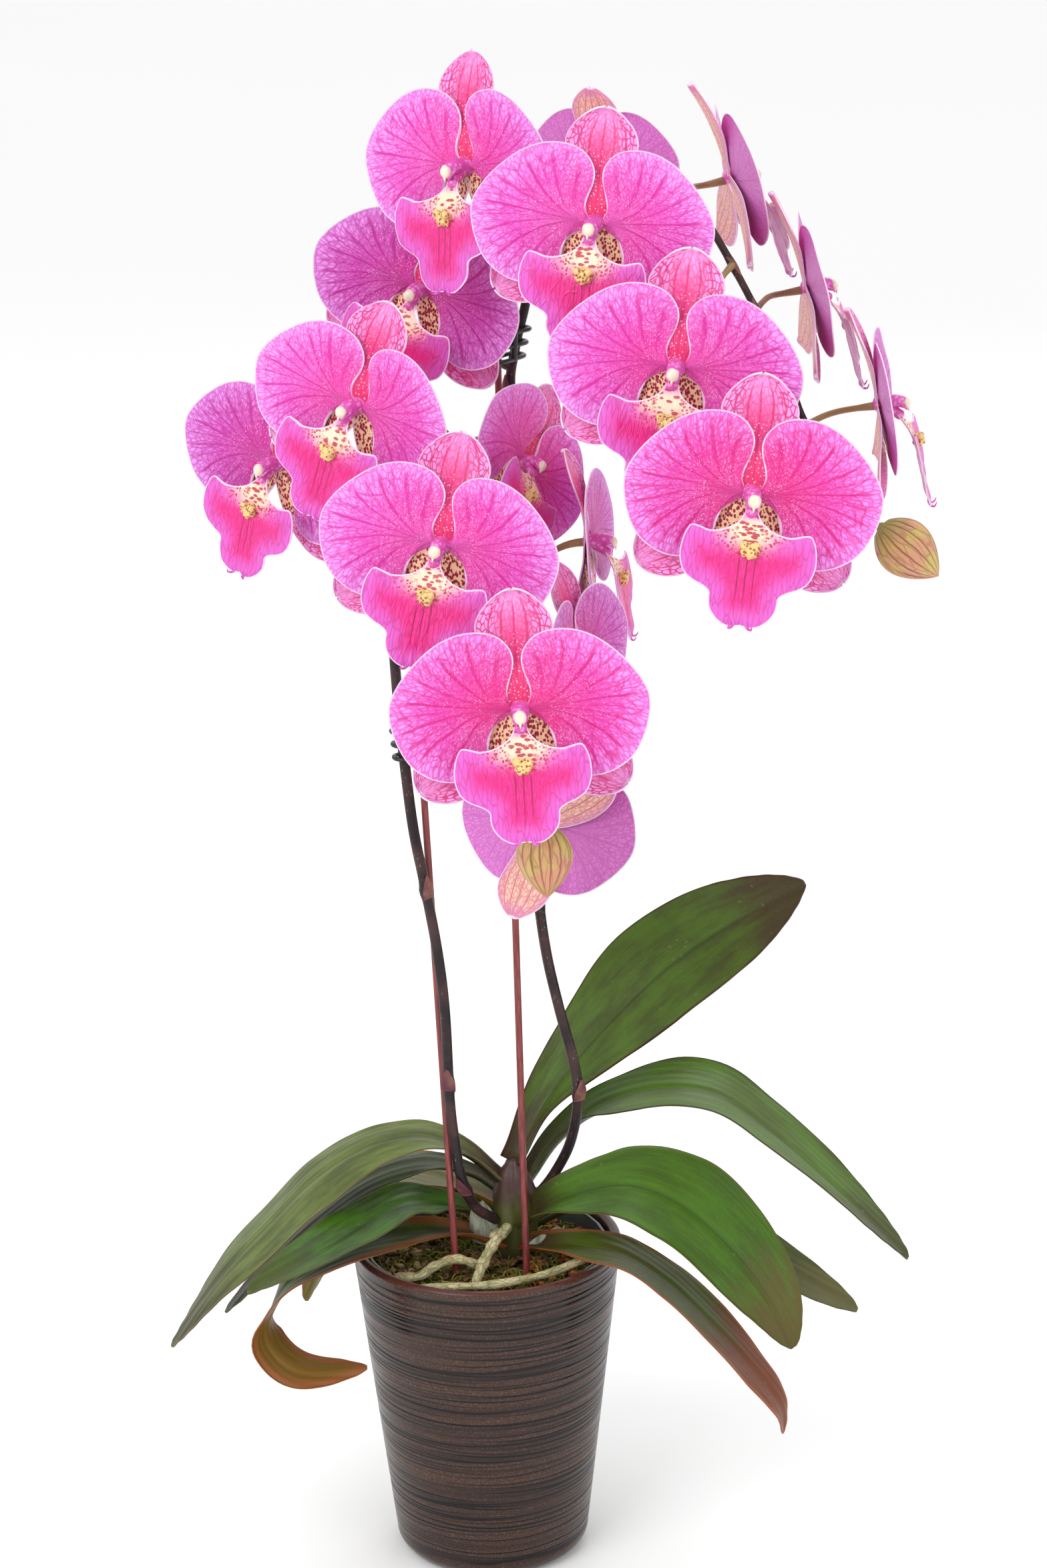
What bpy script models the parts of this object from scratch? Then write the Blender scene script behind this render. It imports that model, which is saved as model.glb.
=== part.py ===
"""Potted moth orchid (Phalaenopsis) in a ribbed, tapered ceramic pot.

Two arching flower spikes rise from one crown of leaves. The crown grows in a grow pot of bark that
stands inside the ceramic pot. Metres, +Z up. The origin is the centre of the pot's flat bottom, and
the plant is seen from -Y, so +X is to the right.
"""
import math

import bmesh
import bpy
import numpy as np
from mathutils import Matrix, Vector

# ---------------------------------------------------------------- sizes: pot and filling
CLEARANCE = 0.0003          # gap left between pieces that touch
POT_HEIGHT = 0.160
DRAWN_POT_HEIGHT = 0.160    # the pot height for which the heights of the plant below are given
LIFT = POT_HEIGHT - DRAWN_POT_HEIGHT
POT_TOP_RADIUS = 0.065
POT_FOOT_RADIUS = 0.046
POT_WALL = 0.005
POT_FLOOR = 0.010
POT_FOOT_ROUNDING = 0.009
POT_SEGMENTS = 36

LINER_GAP = 0.0015          # between the pot's wall and the grow pot
LINER_WALL = 0.0012
LINER_BELOW_RIM = 0.003
MEDIUM_BELOW_RIM = 0.010    # surface of the bark below the rim of the ceramic pot
MEDIUM_DOME = 0.003

# ---------------------------------------------------------------- sizes: stems and stakes
CROWN_CENTRE = (0.014, 0.002)
CROWN_RADIUS = 0.0115
CROWN_TOP = 0.199 + LIFT
CROWN_SEGMENTS = 16
CROWN_DEPTH = 0.030         # how far the crown reaches down into the bark
POCKET_EASE = 0.0004        # gap round a leaf, spike or root where it grows from the crown
SPIKE_STEPS = 34
SPIKE_FOOT_STEPS = 6        # how many of a spike's steps lie near the crown
ROOT_STEPS = 12
SPIKE_RADIUS = 0.0025
SPIKE_TIP_RADIUS = 0.0013
PEDICEL_RADIUS = 0.0013
STAKE_RADIUS = 0.00165
STAKE_DEPTH = 0.100         # how far a stake reaches down into the bark
CLIP_WALL = 0.0012
CLIP_BAR = 0.0026           # height of one rib of a clip
CLIP_PITCH = 0.0062
CLIP_EASE = 0.0009          # how loosely a clip holds its stem and stake
LOOP_CORNERS = 8
CLIP_LEFT_HEIGHT = 0.412 + LIFT
CLIP_RIGHT_HEIGHT = 0.590 + LIFT

# ---------------------------------------------------------------- sizes: flowers
FLOWER_SPAN = 0.112         # width of a full flower across its petals
TEPAL_THICKNESS = 0.0009
PETAL_REACH = 0.0555
DORSAL_LENGTH = 0.053
LATERAL_LENGTH = 0.057
NECK_LENGTH = 0.0042        # from the flower's centre back to the end of its pedicel
COLUMN_LENGTH = 0.0105
COLUMN_RADIUS = 0.0027
LIP_THICKNESS = 0.0010

# Each outline is (angle from the piece's own axis, share of its length) along its outer edge.
PETAL_OUTLINE = ((-70, 0.50), (-54, 0.78), (-32, 0.94), (-6, 1.0), (18, 0.95), (46, 0.88), (66, 0.74),
                 (78, 0.50))
DORSAL_OUTLINE = ((-24, 0.66), (-16, 0.86), (-7, 0.97), (0, 1.0), (7, 0.97), (16, 0.86), (24, 0.66))
LATERAL_OUTLINE = ((-23, 0.62), (-15, 0.84), (-6, 0.97), (0, 1.0), (7, 0.96), (15, 0.84), (23, 0.62))

# Half width of the lip at each level below the flower's centre, and how far forward it stands there.
LIP_PROFILE = (
    # drop, half width, forward
    (0.0030, 0.0030, 0.0062),
    (0.0110, 0.0065, 0.0105),
    (0.0165, 0.0210, 0.0128),
    (0.0270, 0.0290, 0.0146),
    (0.0355, 0.0260, 0.0155),
    (0.0410, 0.0150, 0.0160),
    (0.0530, 0.0075, 0.0158),
)

# name: centre (x, y, z), yaw to the right, tilt upward, roll clockwise (degrees), share of full size
FLOWERS = {
    "01": ((0.001, -0.009, 0.678), -42, 2, -4, 0.98),
    "02": ((0.057, -0.060, 0.661), -14, 2, 5, 0.96),
    "03": ((0.090, -0.100, 0.606), -8, 2, 8, 0.98),
    "04": ((0.120, -0.140, 0.560), 2, 4, 8, 0.98),
    "05": ((-0.0205, 0.016, 0.619), -24, 0, 16, 0.93),
    "06": ((-0.049, -0.038, 0.578), -32, 2, 16, 0.93),
    "07": ((-0.089, 0.028, 0.537), -40, 0, 12, 0.95),
    "08": ((-0.012, -0.088, 0.527), -12, 4, 10, 0.96),
    "09": ((0.021, -0.135, 0.466), 0, 6, -2, 1.00),
    "10": ((0.026, 0.009, 0.540), 50, 0, 48, 0.80),
    "11": ((0.055, 0.002, 0.504), 82, 4, 0, 0.85),
    "12": ((0.047, -0.077, 0.472), 66, 2, 0, 0.84),
    "13": ((0.123, 0.055, 0.660), 97, 12, 0, 0.92),
    "14": ((0.155, 0.012, 0.617), 91, 10, 0, 0.90),
    "15": ((0.184, -0.032, 0.573), 86, 8, 0, 0.88),
    "16": ((0.062, 0.066, 0.665), 148, 0, 0, 0.72),
    "17": ((0.030, -0.050, 0.388), 142, -16, 180, 0.88),
}

# ---------------------------------------------------------------- routes of the stems
SPIKE_LEFT = ((0.0045, -0.007, 0.172), (-0.005, -0.014, 0.182), (-0.011, -0.019, 0.199),
              (-0.0135, -0.0205, 0.217),
              (-0.0155, -0.0215, 0.240), (-0.017, -0.0185, 0.285), (-0.020, -0.0165, 0.316),
              (-0.025, -0.0145, 0.347), (-0.0305, -0.010, 0.380), (-0.036, -0.004, 0.450),
              (-0.037, 0.000, 0.500),
              (-0.034, -0.006, 0.540), (-0.026, -0.018, 0.562), (-0.012, -0.034, 0.566),
              (0.003, -0.050, 0.549),
              (0.013, -0.062, 0.520), (0.021, -0.074, 0.485), (0.025, -0.086, 0.444), (0.028, -0.092, 0.418))
SPIKE_RIGHT = ((0.024, 0.0045, 0.178), (0.033, 0.004, 0.190), (0.041, -0.002, 0.209), (0.045, -0.008, 0.234),
               (0.043, -0.008, 0.254), (0.037, -0.004, 0.278), (0.031, 0.002, 0.306), (0.027, 0.010, 0.340),
               (0.023, 0.018, 0.400), (0.021, 0.027, 0.470), (0.019, 0.036, 0.560), (0.022, 0.036, 0.587),
               (0.027, 0.036, 0.607), (0.032, 0.034, 0.632), (0.043, 0.028, 0.656), (0.061, 0.020, 0.672),
               (0.082, 0.010, 0.672), (0.103, -0.005, 0.658), (0.122, -0.022, 0.628), (0.138, -0.038, 0.595),
               (0.151, -0.052, 0.565), (0.164, -0.066, 0.544), (0.171, -0.072, 0.536))
SIDE_BRANCH = ((0.0198, 0.036, 0.578), (0.014, 0.041, 0.580), (0.006, 0.047, 0.585), (-0.004, 0.054, 0.595))

# flower: how far its pedicel sags (below 0) or rises on the way, as a share of its length
PEDICEL_RISE = {"04": -0.45, "11": -0.50}
USUAL_RISE = 0.10
STALK_CURVED = 0.88         # share of a stalk that bends; the rest runs straight into the flower

# flower: share of the way along its spike where its pedicel leaves
PEDICELS_LEFT = {"06": 0.66, "07": 0.62, "08": 0.74, "11": 0.81, "12": 0.87, "09": 0.90,
                 "17": 0.95}
PEDICELS_RIGHT = {"10": 0.48, "01": 0.66, "16": 0.70, "02": 0.725, "13": 0.78, "03": 0.83, "14": 0.86,
                  "04": 0.92,
                  "15": 0.94}
NODES_LEFT = (0.045, 0.14, 0.30, 0.43, 0.53)
NODES_RIGHT = (0.09, 0.22, 0.40, 0.55)

# name: base end, direction the bud points, length, radius
BUDS = {
    "bud_left": ((0.030, -0.094, 0.401), (0.05, -0.25, -1.0), 0.033, 0.0125),
    "bud_right": ((0.180, -0.073, 0.528), (0.75, -0.10, -0.65), 0.034, 0.0125),
}

STAKE_LEFT = ((-0.0145, -0.022, 0.150), (-0.0260, -0.0035, 0.430))
STAKE_RIGHT = ((0.0190, -0.023, 0.150), (0.0135, 0.0300, 0.622))

# ---------------------------------------------------------------- leaves and roots
# name: midrib points, full width, direction to the rear margin at the base and at the tip, fold
LEAVES = {
    "leaf_01": (((0.005, 0.002, 0.190), (-0.010, 0.002, 0.204), (-0.030, 0.000, 0.213),
                 (-0.055, -0.004, 0.210),
                 (-0.080, -0.011, 0.197), (-0.103, -0.020, 0.177), (-0.127, -0.032, 0.155),
                 (-0.150, -0.044, 0.126)), 0.048, (0.0, 1.0, 0.1), (0.3, 1.0, 0.5), -0.15),
    "leaf_02": (((0.005, 0.006, 0.182), (-0.008, 0.011, 0.189), (-0.030, 0.013, 0.194),
                 (-0.056, 0.009, 0.188),
                 (-0.082, 0.001, 0.172), (-0.106, -0.009, 0.152), (-0.126, -0.018, 0.131)),
                0.035, (0.0, 1.0, 0.0), (0.2, 1.0, 0.3), -0.15),
    "leaf_03": (((0.0045, 0.001, 0.167), (-0.010, -0.001, 0.175), (-0.024, -0.007, 0.181),
                 (-0.040, -0.020, 0.186),
                 (-0.062, -0.043, 0.183), (-0.088, -0.066, 0.177), (-0.110, -0.080, 0.170)),
                0.034, (0.2, 1.0, 0.0), (0.1, 1.0, 0.2), 0.12),
    "leaf_04": (((0.005, -0.004, 0.158), (-0.012, -0.006, 0.165), (-0.034, -0.018, 0.171),
                 (-0.062, -0.034, 0.172),
                 (-0.088, -0.046, 0.163), (-0.101, -0.052, 0.148), (-0.103, -0.056, 0.134),
                 (-0.088, -0.058, 0.120),
                 (-0.057, -0.056, 0.119)), 0.034, (0.3, 1.0, 0.0), (0.3, 1.0, 0.4), 0.0),
    "leaf_05": (((0.0102, 0.0105, 0.168), (-0.010, 0.031, 0.172), (-0.035, 0.047, 0.174),
                 (-0.056, 0.058, 0.163),
                 (-0.074, 0.066, 0.137), (-0.085, 0.068, 0.112), (-0.092, 0.068, 0.096)),
                0.044, (0.3, 1.0, 0.0), (0.8, 1.0, 0.2), 0.05),
    "leaf_06": (((0.017, 0.003, 0.2005), (0.029, 0.014, 0.222), (0.048, 0.022, 0.245), (0.079, 0.026, 0.277),
                 (0.104, 0.022, 0.299), (0.128, 0.014, 0.317), (0.153, 0.004, 0.336)),
                0.054, (-0.5, 0.8, 0.3), (-0.5, 0.5, 0.7), 0.18),
    "leaf_07": (((0.0235, 0.007, 0.189), (0.036, 0.017, 0.203), (0.056, 0.018, 0.219), (0.084, 0.006, 0.232),
                 (0.110, -0.002, 0.232), (0.134, -0.010, 0.218), (0.165, -0.020, 0.192),
                 (0.200, -0.032, 0.159)), 0.050, (0.0, 1.0, 0.2), (0.1, 1.0, 0.05), 0.12),
    "leaf_08": (((0.0220, -0.005, 0.172), (0.038, -0.022, 0.189), (0.066, -0.038, 0.202),
                 (0.091, -0.050, 0.197),
                 (0.113, -0.060, 0.180), (0.131, -0.068, 0.158), (0.143, -0.074, 0.134)),
                0.056, (-0.1, 1.0, 0.3), (0.6, 0.8, 0.5), 0.12),
    "leaf_09": (((0.0235, 0.006, 0.163), (0.045, 0.010, 0.170), (0.084, 0.012, 0.169), (0.120, 0.010, 0.152),
                 (0.150, 0.006, 0.133), (0.179, 0.000, 0.117)), 0.036, (0.0, 1.0, 0.2),
                 (0.1, 1.0, 0.4), 0.10),
    "leaf_10": (((0.0215, -0.006, 0.158), (0.041, -0.026, 0.166), (0.064, -0.042, 0.168),
                 (0.086, -0.052, 0.157),
                 (0.105, -0.058, 0.139), (0.123, -0.063, 0.119), (0.136, -0.066, 0.101),
                 (0.139, -0.064, 0.085)), 0.039, (-0.3, 1.0, 0.1), (0.3, 1.0, 0.2), 0.05),
}
LEAF_THICKNESS = 0.0018

# name: route, radius
ROOTS = {
    "root_01": (((-0.031, -0.043, 0.1522), (-0.018, -0.046, 0.1546), (0.004, -0.046, 0.1558),
                 (0.028, -0.040, 0.1575), (0.044, -0.031, 0.1590)), 0.0018),
    "root_02": (((0.010, -0.0085, 0.168), (0.004, -0.019, 0.1655), (-0.001, -0.030, 0.1610),
                 (-0.005, -0.038, 0.1539)), 0.0024),
    "root_03": (((-0.003, -0.025, 0.1560), (-0.014, -0.026, 0.1600), (-0.024, -0.030, 0.1585),
                 (-0.032, -0.033, 0.1545), (-0.043, -0.030, 0.1530)), 0.0020),
}


def raised(points):
    """Points of the plant, lifted as far as a taller pot stands above the drawn one."""
    return tuple((x, y, z + LIFT) for x, y, z in points)


SPIKE_LEFT, SPIKE_RIGHT, SIDE_BRANCH = raised(SPIKE_LEFT), raised(SPIKE_RIGHT), raised(SIDE_BRANCH)
STAKE_LEFT, STAKE_RIGHT = raised(STAKE_LEFT), raised(STAKE_RIGHT)
LEAVES = {name: (raised(midrib), *shape) for name, (midrib, *shape) in LEAVES.items()}
ROOTS = {name: (raised(route), radius) for name, (route, radius) in ROOTS.items()}
BUDS = {name: (*raised((base,)), *shape) for name, (base, *shape) in BUDS.items()}
FLOWERS = {name: (*raised((place,)), *pose) for name, (place, *pose) in FLOWERS.items()}

# ---------------------------------------------------------------- looks
LOOKS = {
    # kind: (colour, roughness, metallic)
    "pot": ((0.028, 0.014, 0.010, 1), 0.30, 0.0),
    "grow_pot": ((0.030, 0.030, 0.032, 1), 0.35, 0.0),
    "medium": ((0.110, 0.075, 0.035, 1), 0.90, 0.0),
    "crown": ((0.120, 0.110, 0.030, 1), 0.50, 0.0),
    "spike": ((0.035, 0.025, 0.020, 1), 0.50, 0.0),
    "stake": ((0.180, 0.030, 0.030, 1), 0.40, 0.0),
    "clip": ((0.012, 0.014, 0.014, 1), 0.45, 0.0),
    "bud": ((0.330, 0.300, 0.080, 1), 0.50, 0.0),
    "leaf": ((0.060, 0.150, 0.020, 1), 0.38, 0.0),
    "root": ((0.480, 0.450, 0.250, 1), 0.70, 0.0),
    "flower": ((0.700, 0.120, 0.480, 1), 0.50, 0.0),
    "lip": ((0.720, 0.030, 0.320, 1), 0.45, 0.0),
}


# ---------------------------------------------------------------- scene and mesh helpers
def clear_scene():
    for old in list(bpy.data.objects):
        bpy.data.objects.remove(old, do_unlink=True)


def new_collection(name):
    group = bpy.data.collections.new(name)
    bpy.context.scene.collection.children.link(group)
    return group


clear_scene()
PARTS = new_collection("potted_orchid")
HELPERS = new_collection("potted_orchid_helpers")


def material(node, kind):
    colour, roughness, metallic = LOOKS[kind]
    made = bpy.data.materials.new(node)
    made.use_nodes = True
    shader = made.node_tree.nodes["Principled BSDF"]
    shader.inputs["Base Color"].default_value = colour
    shader.inputs["Roughness"].default_value = roughness
    shader.inputs["Metallic"].default_value = metallic
    return made


def object_from_bmesh(name, bm, group=HELPERS):
    mesh = bpy.data.meshes.new(name)
    bm.to_mesh(mesh)
    bm.free()
    made = bpy.data.objects.new(name, mesh)
    group.objects.link(made)
    return made


def evaluated_mesh(source):
    """The mesh of an object with its modifiers, in world space, as a new mesh."""
    bpy.context.view_layer.update()
    depsgraph = bpy.context.evaluated_depsgraph_get()
    mesh = bpy.data.meshes.new_from_object(source.evaluated_get(depsgraph))
    mesh.transform(source.matrix_world)
    return mesh


def baked(source, merge=0.00001):
    """Replace an object by a plain mesh object of what it evaluates to."""
    mesh = evaluated_mesh(source)
    bm = bmesh.new()
    bm.from_mesh(mesh)
    bmesh.ops.remove_doubles(bm, verts=bm.verts, dist=merge)
    bm.to_mesh(mesh)
    bm.free()
    name = source.name
    bpy.data.objects.remove(source, do_unlink=True)
    made = bpy.data.objects.new(name, mesh)
    HELPERS.objects.link(made)
    return made


def combine(base, pieces, operation):
    """Join the pieces to the base, or cut them from it, one exact Boolean after the other."""
    for number, piece in enumerate(pieces):
        step = base.modifiers.new(f"{operation.lower()}_{number}", "BOOLEAN")
        step.operation = operation
        step.solver = "EXACT"
        step.object = piece
    result = baked(base, 0.000001)
    for piece in pieces:
        bpy.data.objects.remove(piece, do_unlink=True)
    return result


def finish(source, node, kind, smooth_angle=50):
    """Name a helper object as a finished piece of the plant, with its own material."""
    HELPERS.objects.unlink(source)
    PARTS.objects.link(source)
    source.name = node
    source.data.name = node
    source.data.materials.clear()
    source.data.materials.append(material(node, kind))
    source.data.shade_smooth()
    source.data.set_sharp_from_angle(angle=math.radians(smooth_angle))
    return source


def smooth_route(points, count):
    """Points evenly spaced along a smooth curve through the given ones."""
    nodes = np.array(points, dtype=float)
    padded = np.vstack([2 * nodes[0] - nodes[1], nodes, 2 * nodes[-1] - nodes[-2]])
    fine = []
    for a, b, c, d in zip(padded[:-3], padded[1:-2], padded[2:-1], padded[3:]):
        for t in np.linspace(0, 1, 12, endpoint=False):
            fine.append(0.5 * (2 * b + (c - a) * t + (2 * a - 5 * b + 4 * c - d) * t ** 2
                               + (3 * b - a - 3 * c + d) * t ** 3))
    fine.append(nodes[-1])
    fine = np.array(fine)
    length = np.concatenate([[0], np.cumsum(np.linalg.norm(np.diff(fine, axis=0), axis=1))])
    wanted = np.linspace(0, length[-1], count)
    return np.stack([np.interp(wanted, length, fine[:, axis]) for axis in range(3)], axis=1)


def tube(name, points, radii, sides_resolution=1):
    """A closed tube along a route, its radius given at each point or once for all of them."""
    curve = bpy.data.curves.new(name, "CURVE")
    curve.dimensions = "3D"
    curve.bevel_depth = 1.0
    curve.bevel_resolution = sides_resolution
    curve.use_fill_caps = True
    spline = curve.splines.new("POLY")
    spline.points.add(len(points) - 1)
    for spot, place, radius in zip(spline.points, points, np.broadcast_to(radii, len(points))):
        spot.co = (*place, 1)
        spot.radius = radius
    made = bpy.data.objects.new(name, curve)
    HELPERS.objects.link(made)
    return baked(made)


def turned(name, profile, segments=POT_SEGMENTS):
    """A solid of revolution about Z from (radius, height) points, run down its outer side."""
    bm = bmesh.new()
    corners = [bm.verts.new((radius, 0, height)) for radius, height in profile]
    for first, second in zip(corners, corners[1:]):
        bm.edges.new((first, second))
    made = object_from_bmesh(name, bm)
    screw = made.modifiers.new("turn", "SCREW")
    screw.steps = segments
    screw.render_steps = segments
    screw.use_merge_vertices = True
    screw.merge_threshold = 0.00001
    return baked(made)


def ball(name, size, place=(0, 0, 0), columns=10, rows=6):
    """An ellipsoid of half axes `size`."""
    bm = bmesh.new()
    bmesh.ops.create_uvsphere(bm, u_segments=columns, v_segments=rows, radius=1.0)
    bmesh.ops.scale(bm, vec=Vector(size), verts=bm.verts)
    bmesh.ops.translate(bm, vec=Vector(place), verts=bm.verts)
    return object_from_bmesh(name, bm)


def cone(name, foot, head, foot_radius, head_radius, segments=10):
    """A closed cone or cylinder from one point to another."""
    foot, head = Vector(foot), Vector(head)
    axis = head - foot
    bm = bmesh.new()
    bmesh.ops.create_cone(bm, cap_ends=True, segments=segments, radius1=foot_radius, radius2=head_radius,
                          depth=axis.length)
    turn = axis.to_track_quat("Z", "Y").to_matrix().to_4x4()
    bm.transform(Matrix.Translation((foot + head) / 2) @ turn)
    return object_from_bmesh(name, bm)


def sheet(name, place, along, across, thickness, offset=0.0):
    """A thin closed blade: a grid whose point (u, v) goes to place(u, v), with u in 0..1, v in -1..1."""
    bm = bmesh.new()
    bmesh.ops.create_grid(bm, x_segments=along, y_segments=across, size=1.0)
    for corner in bm.verts:
        corner.co = place((corner.co.x + 1) / 2, corner.co.y)
    made = object_from_bmesh(name, bm)
    shell = made.modifiers.new("thickness", "SOLIDIFY")
    shell.thickness = thickness
    shell.offset = offset
    return baked(made)


def eased(value, low, high):
    """0 below low, 1 above high, and a smooth step between them."""
    share = min(max((value - low) / (high - low), 0.0), 1.0)
    return share * share * (3 - 2 * share)


# ---------------------------------------------------------------- pot, grow pot and bark
def pot_outer_radius(height):
    return POT_FOOT_RADIUS + (POT_TOP_RADIUS - POT_FOOT_RADIUS) * height / POT_HEIGHT


def pot_inner_radius(height):
    return pot_outer_radius(height) - POT_WALL


def make_pot():
    rounding = POT_FOOT_ROUNDING
    profile = [(0, POT_FLOOR), (pot_inner_radius(POT_FLOOR), POT_FLOOR),
               (pot_inner_radius(POT_HEIGHT), POT_HEIGHT - 0.0015),
               (pot_inner_radius(POT_HEIGHT) + 0.0015, POT_HEIGHT),
               (pot_outer_radius(POT_HEIGHT) - 0.0012, POT_HEIGHT),
               (POT_TOP_RADIUS, POT_HEIGHT - 0.0012)]
    profile += [(pot_outer_radius(share * POT_HEIGHT), share * POT_HEIGHT) for share in (0.75, 0.5, 0.25)]
    for degrees in (0, 25, 50, 75, 90):
        angle = math.radians(degrees)
        profile.append((pot_outer_radius(rounding) - rounding * (1 - math.cos(angle)),
                        rounding * (1 - math.sin(angle))))
    profile.append((0, 0))
    return turned("pot", profile)


def liner_radius(height):
    return pot_inner_radius(height) - LINER_GAP


def make_grow_pot():
    base = POT_FLOOR + CLEARANCE
    top = POT_HEIGHT - LINER_BELOW_RIM
    floor = base + LINER_WALL
    profile = [(0, floor), (liner_radius(floor) - LINER_WALL, floor), (liner_radius(top) - LINER_WALL, top),
               (liner_radius(top), top), (liner_radius(base), base), (0, base)]
    return turned("grow_pot", profile)


def bark_top(radius):
    """Height of the bark's surface at a distance from the pot's axis."""
    edge = liner_radius(POT_HEIGHT - MEDIUM_BELOW_RIM) - LINER_WALL
    return POT_HEIGHT - MEDIUM_BELOW_RIM + MEDIUM_DOME * (1 - (radius / edge) ** 2)


def make_medium():
    low = POT_FLOOR + LINER_WALL + 2 * CLEARANCE
    high = POT_HEIGHT - MEDIUM_BELOW_RIM
    edge = liner_radius(high) - LINER_WALL - CLEARANCE
    profile = [(edge * share, bark_top(edge * share)) for share in (0, 0.35, 0.7, 1.0)]
    profile += [(liner_radius(low) - LINER_WALL - CLEARANCE, low), (0, low)]
    bark = turned("potting_medium", profile)
    sockets = [cone("crown_socket", (*CROWN_CENTRE, crown_bottom() - CLEARANCE), (*CROWN_CENTRE, CROWN_TOP),
                    CROWN_RADIUS + CLEARANCE, CROWN_RADIUS + CLEARANCE, CROWN_SEGMENTS)]
    for foot, head in (STAKE_LEFT, STAKE_RIGHT):
        low_end = stake_foot(foot, head, STAKE_DEPTH + CLEARANCE)
        reach = STAKE_RADIUS + CLEARANCE
        sockets.append(cone("stake_socket", low_end, head, reach, reach, 8))
    for route, radius in ROOTS.values():
        bed = smooth_route(set_back(route), ROOT_STEPS)
        sockets.append(tube("root_bed", bed, radius + 2 * CLEARANCE))
    return combine(bark, sockets, "DIFFERENCE")


# ---------------------------------------------------------------- crown, stakes and clips
def crown_bottom():
    return POT_HEIGHT - MEDIUM_BELOW_RIM - CROWN_DEPTH


def make_crown():
    """The short stem, with a pocket for each leaf, spike and root that grows out of it."""
    stem = cone("crown_stem", (*CROWN_CENTRE, crown_bottom()), (*CROWN_CENTRE, CROWN_TOP),
                CROWN_RADIUS, CROWN_RADIUS * 0.82, CROWN_SEGMENTS)
    pockets = []
    for name, (midrib, width, base_side, tip_side, fold) in LEAVES.items():
        wide = width + 4 * POCKET_EASE
        pockets.append(make_leaf(f"{name}_pocket", set_back(midrib), wide, base_side, tip_side, fold,
                                 LEAF_THICKNESS + 2 * POCKET_EASE))
    stalks = []
    for spike in (SPIKE_LEFT, SPIKE_RIGHT):
        stalks.append((smooth_route(spike, SPIKE_STEPS)[:SPIKE_FOOT_STEPS], SPIKE_RADIUS))
    route, radius = ROOTS["root_02"]
    stalks.append((smooth_route(route, ROOT_STEPS), radius))
    for steps, radius in stalks:
        pockets.append(tube("stalk_pocket", set_back(steps), radius + 2 * POCKET_EASE))
    return combine(stem, pockets, "DIFFERENCE")


def set_back(route):
    """A route with its start moved a little outward past its own end, for cutting a pocket."""
    first, second = Vector(route[0]), Vector(route[1])
    return (first + (first - second).normalized() * POCKET_EASE, *route[1:])


def stake_foot(foot, head, depth):
    direction = (Vector(head) - Vector(foot)).normalized()
    return Vector(foot) - direction * depth


def make_stake(name, foot, head):
    return cone(name, stake_foot(foot, head, STAKE_DEPTH), head, STAKE_RADIUS, STAKE_RADIUS, 8)


def at_height(points, height):
    """Where a rising route passes a height."""
    route = smooth_route(points, 400)
    return Vector(route[np.argmax(route[:, 2] >= height)])


def make_clip(name, spike, stake, height):
    """A ribbed clip: three flat loops round the stem and its stake, joined by a bar beside them."""
    width = SPIKE_RADIUS + CLEARANCE + CLIP_EASE
    loops = []
    joints = []
    for level in (-1, 0, 1):
        tall = height + level * CLIP_PITCH
        stem = at_height(spike, tall)
        rod = Vector(stake[0]).lerp(Vector(stake[1]), (tall - stake[0][2]) / (stake[1][2] - stake[0][2]))
        across = (rod - stem).to_2d()
        angle = math.atan2(across.y, across.x)
        loop = stadium_ring("loop", across.length / 2 + width, width, CLIP_WALL, CLIP_BAR)
        centre = Vector(((rod.x + stem.x) / 2, (rod.y + stem.y) / 2, tall))
        loop.matrix_world = Matrix.Translation(centre) @ Matrix.Rotation(angle, 4, "Z")
        loops.append(baked(loop))
        outward = Vector((-math.sin(angle), math.cos(angle), 0))
        joints.append(centre + outward * (width + CLIP_WALL))
    bar = tube("bar", joints, CLIP_WALL * 0.8, 0)
    clip = combine(bar, loops, "UNION")
    clip.name = name
    return clip


def stadium_ring(name, reach, width, wall, height):
    """A flat loop with round ends: outline reach x width inside, and wall thick."""
    bm = bmesh.new()
    rows = []
    for radius, level in ((width, -1), (width + wall, -1), (width + wall, 1), (width, 1)):
        row = []
        for step in range(LOOP_CORNERS):
            angle = 2 * math.pi * (step + 0.5) / LOOP_CORNERS
            shift = math.copysign(reach - width, math.cos(angle))
            row.append(bm.verts.new((shift + radius * math.cos(angle), radius * math.sin(angle),
                                     level * height / 2)))
        rows.append(row)
    for row, other in zip(rows, rows[1:] + rows[:1]):
        for step in range(LOOP_CORNERS):
            after = (step + 1) % LOOP_CORNERS
            bm.faces.new((row[step], row[after], other[after], other[step]))
    bmesh.ops.recalc_face_normals(bm, faces=bm.faces)
    return object_from_bmesh(name, bm)


# ---------------------------------------------------------------- flowers
def flower_matrix(place, yaw, tilt, roll, size):
    """A flower's own frame: its face looks along -Y and its dorsal sepal points along +Z."""
    turn = (Matrix.Rotation(math.radians(yaw), 4, "Z") @ Matrix.Rotation(math.radians(-tilt), 4, "X")
            @ Matrix.Rotation(math.radians(roll), 4, "Y"))
    scale = size * FLOWER_SPAN / (2 * PETAL_REACH)
    return Matrix.Translation(place) @ turn @ Matrix.Scale(scale, 4)


def outline_at(outline, share):
    """Angle and reach of an outline at a share of the way from one end to the other."""
    points = np.array(outline, dtype=float)
    spot = (share + 1) / 2 * (len(points) - 1)
    index = np.arange(len(points))
    return math.radians(np.interp(spot, index, points[:, 0])), np.interp(spot, index, points[:, 1])


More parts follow.
